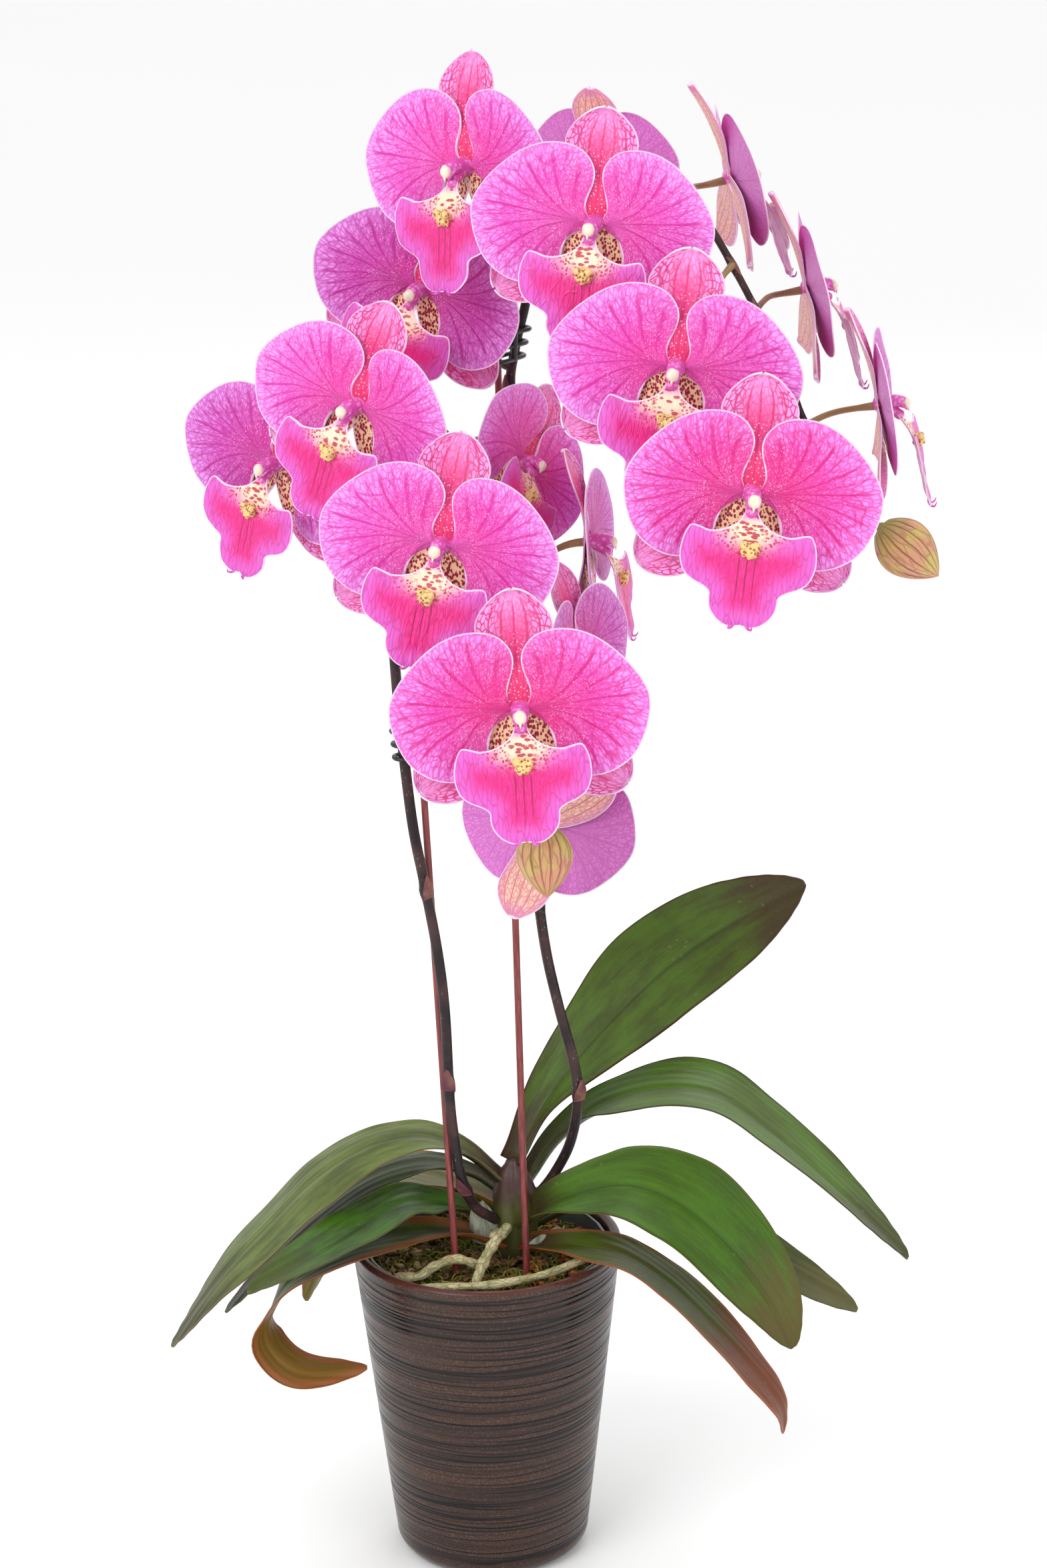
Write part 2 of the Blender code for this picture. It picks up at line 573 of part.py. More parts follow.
def tepal(name, outline, length, axis, claw, depth, bend, gather, along, across):
    """One petal or sepal, fanning out from its claw.

    axis: its direction in the flower's face, degrees from +X; depth: how far behind the face it
    starts; bend: how far its end leans back, as a share of its length (negative leans forward);
    gather: how much wider (above 1) or narrower its fan is at the claw.
    """
    lean = math.radians(axis)

    def place(u, v):
        angle, reach = outline_at(outline, v)
        fan = gather + (1 - gather) * eased(u, 0.05, 0.85)
        radius = claw + (length - claw) * (0.04 + 0.96 * u) * reach
        turned_by = lean + angle * fan
        edge = 0.05 * length * (v * v) * u
        back = depth + bend * length * u * u + edge
        return (radius * math.cos(turned_by), back, radius * math.sin(turned_by))

    return sheet(name, place, along, across, TEPAL_THICKNESS)


def make_tepals():
    """Three sepals and two petals on one receptacle, with the neck behind that its pedicel meets."""
    pieces = [
        tepal("dorsal_sepal", DORSAL_OUTLINE, DORSAL_LENGTH, 91, -0.0008, 0.0016, 0.20, 1.5, 3, 3),
        tepal("sepal_right", LATERAL_OUTLINE, LATERAL_LENGTH, -38, -0.0008, 0.0016, 0.10, 1.5, 2, 3),
        tepal("sepal_left", LATERAL_OUTLINE, LATERAL_LENGTH, 180 + 38, -0.0008, 0.0016, 0.10, 1.5, 2, 3),
        tepal("petal_right", PETAL_OUTLINE, PETAL_REACH, 8, -0.0008, -0.0004, -0.10, 0.62, 3, 5),
    ]
    left = pieces[-1].copy()
    left.data = pieces[-1].data.copy()
    HELPERS.objects.link(left)
    left.name = "petal_left"
    bm = bmesh.new()
    bm.from_mesh(left.data)
    bmesh.ops.scale(bm, vec=(-1, 1, 1), verts=bm.verts)
    bmesh.ops.reverse_faces(bm, faces=bm.faces)
    bm.to_mesh(left.data)
    bm.free()
    pieces.append(left)
    pieces.append(cone("neck", (0, NECK_LENGTH, 0), (0, 0.001, 0), 0.0019, 0.0026, 6))
    heart = cone("receptacle", (0, 0.0029, 0), (0, -0.0011, 0), 0.0040, 0.0046, 8)
    return combine(heart, pieces, "UNION")


def make_lip():
    """The lip with its two wide side lobes and its middle lobe, and the column above it."""
    levels = np.array(LIP_PROFILE)
    index = np.arange(len(levels))

    def place(u, v):
        drop, half, forward = (np.interp(u * (len(levels) - 1), index, levels[:, k]) for k in range(3))
        winged = half / levels[:, 1].max()
        lift = 0.0042 * winged * abs(v) ** 3 * (1 - eased(drop, 0.020, 0.040))
        cup = 0.0035 * winged * v * v
        return (half * v, -forward - cup, -drop + lift)

    lip = sheet("lip", place, len(levels) - 1, 4, LIP_THICKNESS)
    column = cone("column", (0, -0.0015, 0.0),
                  (0, -COLUMN_LENGTH, 0.0008), COLUMN_RADIUS, COLUMN_RADIUS * 0.9, 6)
    foot = cone("column_foot", (0, -0.0040, -0.0006), (0, -0.0080, -0.0056), 0.0023, 0.0021, 6)
    cap = ball("anther_cap", (0.0022, 0.0024, 0.0026), (0, -COLUMN_LENGTH - 0.0004, -0.0002), 6, 4)
    return combine(column, [foot, cap, lip], "UNION")


def make_flowers():
    tepals = make_tepals()
    lip = make_lip()
    for number, (place, yaw, tilt, roll, size) in FLOWERS.items():
        frame = flower_matrix(place, yaw, tilt, roll, size)
        for node, kind, shape in ((f"flower_{number}", "flower", tepals), (f"lip_{number}", "lip", lip)):
            made = bpy.data.objects.new(node, shape.data.copy())
            made.matrix_world = frame
            HELPERS.objects.link(made)
            finish(made, node, kind)
    for shape in (tepals, lip):
        bpy.data.objects.remove(shape, do_unlink=True)


# ---------------------------------------------------------------- spikes and buds
def flower_neck(number):
    """Where a pedicel ends on a flower, and the way it arrives there."""
    place, yaw, tilt, roll, size = FLOWERS[number]
    frame = flower_matrix(place, yaw, tilt, roll, size)
    end = frame @ Vector((0, NECK_LENGTH, 0))
    facing = (frame.to_3x3() @ Vector((0, -1, 0))).normalized()
    return end - facing * CLEARANCE, facing


def bend_between(start, end, arriving, rise=USUAL_RISE, count=6):
    """A pedicel's route: it leaves the spike towards the flower and bends to arrive on its axis."""
    start, end, arriving = Vector(start), Vector(end), Vector(arriving)
    span = (end - start).length
    first = start + (end - start) * 0.35 + Vector((0, 0, rise * span))
    second = end - arriving * span * 0.42
    points = []
    for step in range(count):
        t = step / (count - 1) * STALK_CURVED
        points.append(start * (1 - t) ** 3 + first * 3 * t * (1 - t) ** 2 + second * 3 * t * t * (1 - t)
                      + end * t ** 3)
    straight = (points[-1] - end).length
    points[-1] = end - arriving * straight
    points.append(end)
    return points


def make_spike(name, route, pedicels, rings, bud, extra=()):
    """A spike with its node rings, pedicels and bud stalk, grown as one piece."""
    fine = smooth_route(route, SPIKE_STEPS)
    shares = np.linspace(0, 1, len(fine))
    radii = SPIKE_RADIUS + (SPIKE_TIP_RADIUS - SPIKE_RADIUS) * np.clip((shares - 0.45) / 0.55, 0, 1)
    spike = tube(name, fine, radii)
    pieces = []
    for share in rings:
        spot = round(share * (len(fine) - 1))
        along = Vector(fine[spot + 1] - fine[spot]).normalized()
        centre = Vector(fine[spot])
        pieces.append(cone("node_ring", centre - along * 0.0016, centre + along * 0.0016,
                           SPIKE_RADIUS * 1.35, SPIKE_RADIUS * 1.2, 8))
    for number, share in pedicels.items():
        start = fine[round(share * (len(fine) - 1))]
        end, facing = flower_neck(number)
        rise = PEDICEL_RISE.get(number, USUAL_RISE)
        pieces.append(tube("pedicel", bend_between(start, end, facing, rise), PEDICEL_RADIUS, 0))
    base, pointing, _, _ = BUDS[bud]
    pointing = Vector(pointing).normalized()
    end = Vector(base) - pointing * CLEARANCE
    pieces.append(tube("bud_stalk", bend_between(fine[-1], end, pointing, USUAL_RISE, 5), PEDICEL_RADIUS, 0))
    pieces += list(extra)
    return combine(spike, pieces, "UNION")


def make_bud(name, base, pointing, length, radius):
    """A closed bud, egg-shaped, flat where its stalk meets it and blunt at the tip."""
    outline = [(0, length)]
    for share in (0.94, 0.80, 0.60, 0.40, 0.22, 0.08):
        outline.append((radius * math.sin(math.pi * (0.06 + 0.94 * share) ** 0.85) ** 0.75, share * length))
    outline += [(0.0022, 0), (0, 0)]
    bud = turned(name, outline, 12)
    turn = Vector(pointing).to_track_quat("Z", "Y").to_matrix().to_4x4()
    bud.matrix_world = Matrix.Translation(base) @ turn
    return baked(bud)


# ---------------------------------------------------------------- leaves
def leaf_width(share):
    """Half width of a leaf along its length, as a share of its widest half width."""
    widening = 0.28 + 0.72 * eased(share, 0.0, 0.55)
    closing = max(1 - (max(share - 0.50, 0) / 0.503) ** 2.2, 0.0) ** 0.68
    return widening * closing


def make_leaf(name, midrib, width, base_side, tip_side, fold, thickness=LEAF_THICKNESS):
    """A strap leaf along its midrib; side vectors point to its rear margin, fold lifts both margins."""
    fine = smooth_route(midrib, 15)
    ahead = np.gradient(fine, axis=0)
    rightward = 1 if fine[-1][0] > fine[0][0] else -1

    def place(u, v):
        spot = u * (len(fine) - 1)
        index = np.arange(len(fine))
        centre = Vector([np.interp(spot, index, fine[:, k]) for k in range(3)])
        along = Vector([np.interp(spot, index, ahead[:, k]) for k in range(3)]).normalized()
        side = Vector(base_side).lerp(Vector(tip_side), u)
        side = (side - along * side.dot(along)).normalized()
        upper = rightward * along.cross(side)
        half = width / 2 * leaf_width(u)
        return centre + side * (v * half) + upper * (abs(v) ** 1.5 * fold * half)

    return sheet(name, place, 12, 4, thickness)


# ---------------------------------------------------------------- the whole plant
def make_plant():
    finish(make_pot(), "pot", "pot", 35)
    finish(make_grow_pot(), "grow_pot", "grow_pot", 35)
    finish(make_medium(), "potting_medium", "medium")
    finish(make_crown(), "crown_stem", "crown")
    finish(make_stake("stake_left", *STAKE_LEFT), "stake_left", "stake")
    finish(make_stake("stake_right", *STAKE_RIGHT), "stake_right", "stake")
    finish(make_clip("clip_left", SPIKE_LEFT, STAKE_LEFT, CLIP_LEFT_HEIGHT), "clip_left", "clip", 30)
    finish(make_clip("clip_right", SPIKE_RIGHT, STAKE_RIGHT, CLIP_RIGHT_HEIGHT), "clip_right", "clip", 30)
    for name, (midrib, width, base_side, tip_side, fold) in LEAVES.items():
        finish(make_leaf(name, midrib, width, base_side, tip_side, fold), name, "leaf", 60)
    for name, (route, radius) in ROOTS.items():
        finish(tube(name, smooth_route(route, ROOT_STEPS), radius), name, "root")
    for name, (base, pointing, length, radius) in BUDS.items():
        finish(make_bud(name, base, pointing, length, radius), name, "bud")
    make_flowers()
    branch_end, branch_facing = flower_neck("05")
    branch = tube("side_branch", smooth_route(SIDE_BRANCH, 8), 0.0017)
    twig = tube("pedicel", bend_between(SIDE_BRANCH[-1], branch_end, branch_facing), PEDICEL_RADIUS, 0)
    right = make_spike("spike_right", SPIKE_RIGHT, PEDICELS_RIGHT, NODES_RIGHT, "bud_right", (branch, twig))
    finish(right, "spike_right", "spike")
    left = make_spike("spike_left", SPIKE_LEFT, PEDICELS_LEFT, NODES_LEFT, "bud_left")
    finish(left, "spike_left", "spike")


make_plant()
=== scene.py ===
"""Looks of a potted moth orchid: veined flowers on two spikes, strap leaves, roots and a ribbed pot.

Metres, +Z up, the plant seen from -Y. Tables give lengths in millimetres, and mm() turns them into metres.
A colour is 0..255 as on a screen, or the linear values that tint() makes of it.
"""
import math
from functools import cached_property

import bpy
import numpy as np
from mathutils import Matrix, Vector, noise


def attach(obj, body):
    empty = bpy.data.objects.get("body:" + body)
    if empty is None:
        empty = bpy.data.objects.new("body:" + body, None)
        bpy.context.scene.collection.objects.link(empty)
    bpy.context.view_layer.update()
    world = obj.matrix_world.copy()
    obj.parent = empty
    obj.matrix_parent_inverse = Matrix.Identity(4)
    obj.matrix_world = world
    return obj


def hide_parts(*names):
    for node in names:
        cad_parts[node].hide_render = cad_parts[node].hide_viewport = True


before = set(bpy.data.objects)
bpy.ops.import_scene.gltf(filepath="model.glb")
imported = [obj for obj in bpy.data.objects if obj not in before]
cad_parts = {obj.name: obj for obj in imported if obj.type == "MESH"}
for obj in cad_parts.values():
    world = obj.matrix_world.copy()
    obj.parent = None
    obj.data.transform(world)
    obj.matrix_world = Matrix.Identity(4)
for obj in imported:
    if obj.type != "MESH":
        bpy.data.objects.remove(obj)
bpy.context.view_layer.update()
MM = 0.001
FULL_TURN = 2 * math.pi


def mm(values):
    """Lengths or points given in millimetres."""
    return np.array(values, dtype=float) * MM


def tint(red, green, blue):
    """A screen colour as the linear values that shaders use."""
    return tuple(c / 255 / 12.92 if c <= 10 else ((c / 255 + 0.055) / 1.055) ** 2.4
                 for c in (red, green, blue))


def scaled(colour, factor):
    return tuple(c * factor for c in colour)


# ---------------------------------------------------------------- shader building
class Shader:
    """A node material; its calls return sockets, and take sockets or plain values."""

    def __init__(self, name, roughness=0.5, specular=0.5):
        self.material = bpy.data.materials.new(name)
        self.material.use_nodes = True
        self.tree = self.material.node_tree
        self.set("Specular IOR Level", specular)
        self.set("Roughness", roughness)

    place = cached_property(lambda self: self.node("ShaderNodeTexCoord", {}, "Object"))
    fan = cached_property(lambda self: self.mark("fan", "Vector"))
    rim = cached_property(lambda self: self.mark("rim"))
    back = cached_property(lambda self: self.mark("back"))

    def feed(self, socket, value):
        if isinstance(value, bpy.types.NodeSocket):
            self.tree.links.new(value, socket)
        elif socket.type == "RGBA":
            socket.default_value = (*(tint(*value) if max(value) > 1 else value), 1)
        else:
            socket.default_value = value

    def set(self, name, value):
        self.feed(self.tree.nodes["Principled BSDF"].inputs[name], value)

    def node(self, kind, inputs, out=0, **settings):
        made = self.tree.nodes.new(kind)
        for key, value in settings.items():
            setattr(made, key, value)
        for key, value in inputs.items():
            self.feed(made.inputs[key], value)
        return made.outputs[out]

    def mark(self, name, out="Fac"):
        return self.node("ShaderNodeAttribute", {}, out, attribute_name=name)

    def part(self, vector, axis):
        return self.node("ShaderNodeSeparateXYZ", {0: vector}, axis)

    def math(self, operation, a, b=0.0):
        return self.node("ShaderNodeMath", {0: a, 1: b}, operation=operation)

    def add(self, a, b):
        return self.math("ADD", a, b)

    def less(self, a, b):
        return self.math("SUBTRACT", a, b)

    def most(self, a, b):
        return self.math("MAXIMUM", a, b)

    def times(self, *values):
        result = values[0]
        for value in values[1:]:
            result = self.math("MULTIPLY", result, value)
        return result

    def ramp(self, value, low, high):
        """0 at low, 1 at high, smooth between; low may be above high."""
        return self.node("ShaderNodeMapRange", {"Value": value, "From Min": low, "From Max": high},
                         interpolation_type="SMOOTHSTEP")

    def lay(self, base, *coats):
        """Coats over a base colour in turn; a coat is a colour, then shares that are multiplied."""
        for colour, *shares in coats:
            base = self.node("ShaderNodeMix", {0: self.times(*shares), 6: base, 7: colour}, 2,
                             data_type="RGBA")
        return base

    def vector(self, operation, vector, key, value):
        return self.node("ShaderNodeVectorMath", {0: vector, key: value}, operation=operation)

    def stretch(self, vector, x, y, z):
        return self.vector("MULTIPLY", vector, 1, (x, y, z))

    def warp(self, vector, scale, amount):
        """The vector, pushed about by noise."""
        cloud = self.node("ShaderNodeTexNoise", {"Vector": vector, "Scale": scale, "Detail": 2.0}, "Color")
        centred = self.vector("SUBTRACT", cloud, 1, (0.5, 0.5, 0.5))
        return self.vector("ADD", vector, 1, self.vector("SCALE", centred, "Scale", amount))

    def noise(self, vector, scale, detail=3.0, rough=0.55):
        return self.node("ShaderNodeTexNoise",
                         {"Vector": vector, "Scale": scale, "Detail": detail, "Roughness": rough}, "Fac")

    def clouds(self, vector, scale, low, high, detail=3.0, rough=0.55):
        return self.ramp(self.noise(vector, scale, detail, rough), low, high)

    def cells(self, vector, scale, feature="F1"):
        return self.node("ShaderNodeTexVoronoi", {"Vector": vector, "Scale": scale}, "Distance",
                         feature=feature)

    def dots(self, vector, scale, outer, inner):
        """Round spots, fading out from `inner` to `outer` round their centres."""
        return self.ramp(self.cells(vector, scale), outer, inner)

    def net(self, vector, x, y, width):
        """Lines of an irregular net, its meshes 1/x by 1/y in size; 1 on a line."""
        edge = self.cells(self.stretch(vector, x, y, 1.0), 1.0, "DISTANCE_TO_EDGE")
        return self.ramp(edge, width, width * 0.15)

    def stripes(self, value, width):
        """Evenly spaced lines wherever value is a whole number; 1 on a line."""
        return self.ramp(self.math("PINGPONG", value, 0.5), width, self.times(width, 0.2))

    def bump(self, height, distance, strength=1.0):
        inputs = {"Height": height, "Distance": distance, "Strength": strength}
        self.set("Normal", self.node("ShaderNodeBump", inputs, "Normal"))

    def glow(self, share, radius, colour):
        """A little light passes through thin tissue."""
        self.set("Subsurface Weight", share)
        self.set("Subsurface Radius", colour)
        self.set("Subsurface Scale", radius)

    def colour(self, value):
        self.set("Base Color", value)
        return self.material


# ---------------------------------------------------------------- mesh building
def spread(*parts):
    """Arrays or numbers broadcast together, side by side on a last axis."""
    return np.stack(np.broadcast_arrays(*parts), axis=-1)


def unit(vectors):
    return vectors / np.linalg.norm(vectors, axis=-1, keepdims=True)


def piece(points, faces, fan, rim=0.0, back=0.0, slot=0):
    """A piece of mesh with its marks: fan places patterns, rim tells the distance from an edge in mm
    (or, on a tube, the share of its length), and back is 1 behind a sheet."""
    points = points.reshape(-1, 3)
    rim, back = (np.broadcast_to(np.ravel(mark), len(points)) for mark in (rim, back))
    return {"points": points, "faces": faces, "slot": slot, "fan": fan.reshape(-1, 3), "rim": rim,
            "back": back}


def grid_faces(rows, columns, start=0, wrap=False, flip=False):
    """Quads over a grid of rows x columns points, numbered row by row from start."""
    across = columns if wrap else columns - 1
    row, column = np.meshgrid(np.arange(rows - 1), np.arange(across), indexing="ij")
    after = (column + 1) % columns
    corners = [row * columns + column, row * columns + after, (row + 1) * columns + after,
               (row + 1) * columns + column]
    if flip:
        corners.reverse()
    return start + np.stack([c.ravel() for c in corners], axis=1)


def blade(points, thickness, fan, rim, slot=0):
    """A thin closed sheet whose front is the grid of points; thickness may vary over the grid."""
    rows, columns = points.shape[:2]
    count = rows * columns
    normal = np.cross(np.gradient(points, axis=0), np.gradient(points, axis=1))
    normal /= np.maximum(np.linalg.norm(normal, axis=2, keepdims=True), 1e-12)
    behind = points - normal * np.broadcast_to(thickness, (rows, columns))[..., None]
    index = np.arange(count).reshape(rows, columns)
    border = np.concatenate([index[0, :], index[1:, -1], index[-1, -2::-1], index[-2:0:-1, 0]])
    after = np.roll(border, -1)
    edge = np.stack([after, after + count, border + count, border], axis=1)
    faces = [grid_faces(rows, columns), grid_faces(rows, columns, count, flip=True), edge]
    return piece(np.stack([points, behind]), np.concatenate(faces), np.stack([fan, fan]),
                 np.stack([rim, rim]), np.repeat((0.0, 1.0), count), slot)


def frames_along(route):
    """The heading and two sideways directions at each point of a route, turning as little as possible."""
    ahead = unit(np.gradient(route, axis=0))
    guide = Vector(ahead[0]).orthogonal().normalized()
    first = []
    for direction in ahead:
        along = Vector(direction)
        guide = (guide - along * guide.dot(along)).normalized()
        first.append(guide)
    first = np.array(first)
    return ahead, first, np.cross(ahead, first)


def length_along(route):
    return np.concatenate([[0], np.cumsum(np.linalg.norm(np.diff(route, axis=0), axis=1))])


CAP_ANGLES = (30, 60, 89)
CAP_BULGE = 0.7


def tube(route, radii, sides=20, slot=0, seed=0.0, swell=None):
    """A closed tube with rounded ends; swell(angle, share) may push its wall out or in."""
    route = np.array(route, dtype=float)
    radii = np.broadcast_to(radii, len(route))
    ahead, first, second = frames_along(route)
    turn = np.linspace(0, FULL_TURN, sides, endpoint=False)
    ring = first[:, None] * np.cos(turn)[:, None] + second[:, None] * np.sin(turn)[:, None]
    wall = radii[:, None] * np.ones(sides)
    if swell:
        wall = wall * (1 + swell(turn, np.linspace(0, 1, len(route))[:, None]))
    caps = []
    for end, away in ((0, -1), (-1, 1)):
        caps.append([])
        for angle in np.radians(CAP_ANGLES):
            middle = route[end] + ahead[end] * (away * radii[end] * math.sin(angle) * CAP_BULGE)
            caps[-1].append(middle + ring[end] * (wall[end] * math.cos(angle))[:, None])
    points = np.concatenate([caps[0][::-1], route[:, None] + ring * wall[..., None], caps[1]])
    length = np.pad(length_along(route), len(CAP_ANGLES), "edge")
    return piece(points, grid_faces(len(points), sides, wrap=True, flip=True),
                 spread(turn, length[:, None] * 1000, seed), np.repeat(np.linspace(0, 1, len(points)), sides),
                 slot=slot)


def lump(centre, size, slot=0, rough=0.0, scale=1.0, seed=0.0, rows=12, columns=16, turn=None):
    """A rounded lump of half axes `size`, pushed about by noise."""
    tall = np.linspace(0.02, math.pi - 0.02, rows)[:, None]
    round_ = np.linspace(0, FULL_TURN, columns, endpoint=False)
    ball = spread(np.sin(tall) * np.cos(round_), np.sin(tall) * np.sin(round_), np.cos(tall)).reshape(-1, 3)
    if rough:
        push = [noise.noise(Vector(p) * scale + Vector((seed, seed * 0.7, 0))) for p in ball]
        ball = ball * (1 + rough * np.array(push))[:, None]
    points = ball * np.asarray(size)
    if turn is not None:
        points = points @ np.array(turn.to_3x3()).T
    return piece(points + np.asarray(centre), grid_faces(rows, columns, wrap=True), ball * 3 + seed,
                 slot=slot)


def moved(part, matrix):
    """A copy of a piece of mesh put elsewhere."""
    turned = np.array(matrix.to_3x3())
    return {**part, "points": part["points"] @ turned.T + np.array(matrix.translation)}


def build(name, pieces, materials, node):
    """One object from several pieces of mesh; it stands for a CAD node."""
    start = 0
    faces, slots = [], []
    for part in pieces:
        faces.append(part["faces"] + start)
        slots.append(np.full(len(part["faces"]), part["slot"]))
        start += len(part["points"])
    mesh = bpy.data.meshes.new(name)
    mesh.from_pydata(np.concatenate([p["points"] for p in pieces]).tolist(), [],
                     np.concatenate(faces).tolist())
    mesh.polygons.foreach_set("material_index", np.concatenate(slots).astype(np.int32))
    for mark, kind, field in (("fan", "FLOAT_VECTOR", "vector"), ("rim", "FLOAT", "value"),
                              ("back", "FLOAT", "value")):
        values = np.concatenate([p[mark] for p in pieces]).astype(np.float32)
        mesh.attributes.new(mark, kind, "POINT").data.foreach_set(field, values.ravel())
    for material in materials:
        mesh.materials.append(material)
    mesh.shade_smooth()
    mesh.update()
    made = bpy.data.objects.new(name, mesh)
    bpy.context.scene.collection.objects.link(made)
    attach(made, "root")
    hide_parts(node)


def smooth_route(points, count):
    """Points evenly spaced along a smooth curve through the given ones."""
    nodes = np.array(points, dtype=float)
    padded = np.vstack([2 * nodes[0] - nodes[1], nodes, 2 * nodes[-1] - nodes[-2]])
    fine = []
    for a, b, c, d in zip(padded[:-3], padded[1:-2], padded[2:-1], padded[3:]):
        for t in np.linspace(0, 1, 12, endpoint=False):
            fine.append(0.5 * (2 * b + (c - a) * t + (2 * a - 5 * b + 4 * c - d) * t ** 2
                               + (3 * b - a - 3 * c + d) * t ** 3))
    fine = np.array([*fine, nodes[-1]])
    length = length_along(fine)
    wanted = np.linspace(0, length[-1], count)
    return np.stack([np.interp(wanted, length, column) for column in fine.T], axis=1)


def eased(value, low, high):
    share = np.clip((np.asarray(value, dtype=float) - low) / (high - low), 0, 1)
    return share * share * (3 - 2 * share)


def bell(value, width):
    """1 at zero, falling away smoothly over `width`."""
    return np.exp(-(value / width) ** 2)


def ripple(x, y, seed):
    """Slow irregular waves, from -1 to 1."""
    return (np.sin(2.1 * x + seed) * np.cos(1.3 * y + 0.7 * seed) * 0.6
            + np.sin(4.7 * x - 2.2 * y + 1.9 * seed) * 0.4)


# ---------------------------------------------------------------- flowers: shapes
FLOWER_SPAN = 0.112
PETAL_REACH = 0.0555
NECK_LENGTH = 0.0042

# name: centre, yaw to the right, tilt upward, roll clockwise (degrees), share of full size
FLOWERS = {
    "01": ((1, -9, 678), -42, 2, -4, 0.98),
    "02": ((57, -60, 661), -14, 2, 5, 0.96),
    "03": ((90, -100, 606), -8, 2, 8, 0.98),
    "04": ((120, -140, 560), 2, 4, 8, 0.98),
    "05": ((-20.5, 16, 619), -24, 0, 16, 0.93),
    "06": ((-49, -38, 578), -32, 2, 16, 0.93),
    "07": ((-89, 28, 537), -40, 0, 12, 0.95),
    "08": ((-12, -88, 527), -12, 4, 10, 0.96),
    "09": ((21, -135, 466), 0, 6, -2, 1.00),
    "10": ((26, 9, 540), 50, 0, 48, 0.80),
    "11": ((55, 2, 504), 82, 4, 0, 0.85),
    "12": ((47, -77, 472), 66, 2, 0, 0.84),
    "13": ((123, 55, 660), 97, 12, 0, 0.92),
    "14": ((155, 12, 617), 91, 10, 0, 0.90),
    "15": ((184, -32, 573), 86, 8, 0, 0.88),
    "16": ((62, 66, 665), 148, 0, 0, 0.72),
    "17": ((30, -50, 388), 142, -16, 180, 0.88),
}

# outline of the right petal from the flower's centre, from its lower claw round to the upper one
PETAL_EDGE = ((2.4, -1.4), (6.9, -4.2), (11.4, -7.2), (14.0, -12.4), (14.4, -18.7), (17.0, -24.4),
              (24.0, -28.4), (31.5, -29.0), (39.4, -26.6), (47.3, -20.7), (52.4, -11.8), (55.1, -2.0),
              (55.0, 6.0), (51.2, 14.0), (44.3, 22.4), (34.8, 30.2), (24.8, 34.4), (15.0, 34.8),
              (7.6, 32.2), (3.2, 27.4), (1.6, 22.3), (2.4, 16.5), (4.4, 10.8), (4.6, 6.2), (2.6, 2.4))

# share of the sepal's length and half width
DORSAL_WIDTHS = ((0.0, 4.6), (0.12, 6.0), (0.28, 9.4), (0.46, 13.4), (0.62, 16.2), (0.73, 16.4),
                 (0.84, 13.6), (0.93, 8.8), (0.98, 4.2), (1.0, 0.6))
LATERAL_WIDTHS = ((0.0, 5.0), (0.12, 8.8), (0.25, 11.6), (0.45, 14.2), (0.62, 15.2), (0.76, 14.4),
                  (0.87, 11.6), (0.95, 7.4), (0.988, 3.6), (1.0, 0.5))
# sepals: half widths, length, direction in degrees from +X, depth at the neck, lean back, shift of the seed
SEPALS = ((DORSAL_WIDTHS, 50.8, 91, 1.7, 0.19, 0), (LATERAL_WIDTHS, 56.5, -38, 1.8, 0.10, 60),
          (LATERAL_WIDTHS, 56.5, 218, 1.8, 0.10, 70))

# the lip, row by row: drop of its middle, then x and drop of its edge, and how far forward it stands
LIP_ROWS = ((5.0, 2.6, 5.0, 7.4), (8.5, 4.2, 8.5, 9.2), (11.5, 7.2, 11.2, 10.8), (14.2, 11.6, 13.2, 12.0),
            (16.6, 17.0, 14.0, 12.8), (18.6, 21.6, 12.8, 13.3), (20.8, 25.4, 12.2, 13.8),
            (23.6, 27.6, 15.4, 14.3), (27.0, 29.0, 21.0, 14.8), (31.0, 28.8, 27.0, 15.2),
            (34.6, 26.6, 32.4, 15.5), (37.0, 22.6, 35.6, 15.7), (38.6, 17.6, 37.8, 15.9),
            (40.4, 15.0, 40.0, 16.0), (43.0, 14.8, 42.8, 16.1), (46.2, 14.2, 46.2, 16.2),
            (49.0, 12.4, 49.2, 16.2), (51.2, 9.6, 51.8, 16.0), (52.4, 5.8, 53.6, 15.7),
            (52.8, 0.8, 53.4, 15.4))

PETAL_SLOT, SEPAL_SLOT, NECK_SLOT = 0, 1, 2
LIP_SLOT, CALLUS_SLOT, COLUMN_SLOT, CAP_SLOT = 0, 1, 2, 3


def flower_matrix(place, yaw, tilt, roll, size):
    """A flower's own frame: its face looks along -Y and its dorsal sepal points along +Z."""
    turn = (Matrix.Rotation(math.radians(yaw), 4, "Z") @ Matrix.Rotation(math.radians(-tilt), 4, "X")
            @ Matrix.Rotation(math.radians(roll), 4, "Y"))
    return Matrix.Translation(mm(place)) @ turn @ Matrix.Scale(size * FLOWER_SPAN / (2 * PETAL_REACH), 4)


def edge_distance(x, z, outline):
    """How far each point of a flat shape is from its outline."""
    return np.min(np.linalg.norm(spread(x, z)[:, :, None] - outline, axis=3), axis=2)


def petal_plan():
    """The flat petal: its points, their shares outward and across, and their distance from the edge."""
    edge = smooth_route(PETAL_EDGE, 97)
    claw = np.array([1.6, 0.6])
    axis = np.array([1.0, 0.10])
    out = (np.linspace(0.03, 1, 34) ** 0.9)[:, None, None]
    bend = claw + axis * np.linalg.norm(edge - claw, axis=1)[:, None] * 0.46
    flat = claw * (1 - out) ** 2 + bend * 2 * out * (1 - out) + edge * out ** 2
    x, z = flat[..., 0], flat[..., 1]
    u, v = np.broadcast_arrays(out[..., 0], np.linspace(-1, 1, 97))
    return x, z, u, v, edge_distance(x, z, smooth_route(PETAL_EDGE, 600))


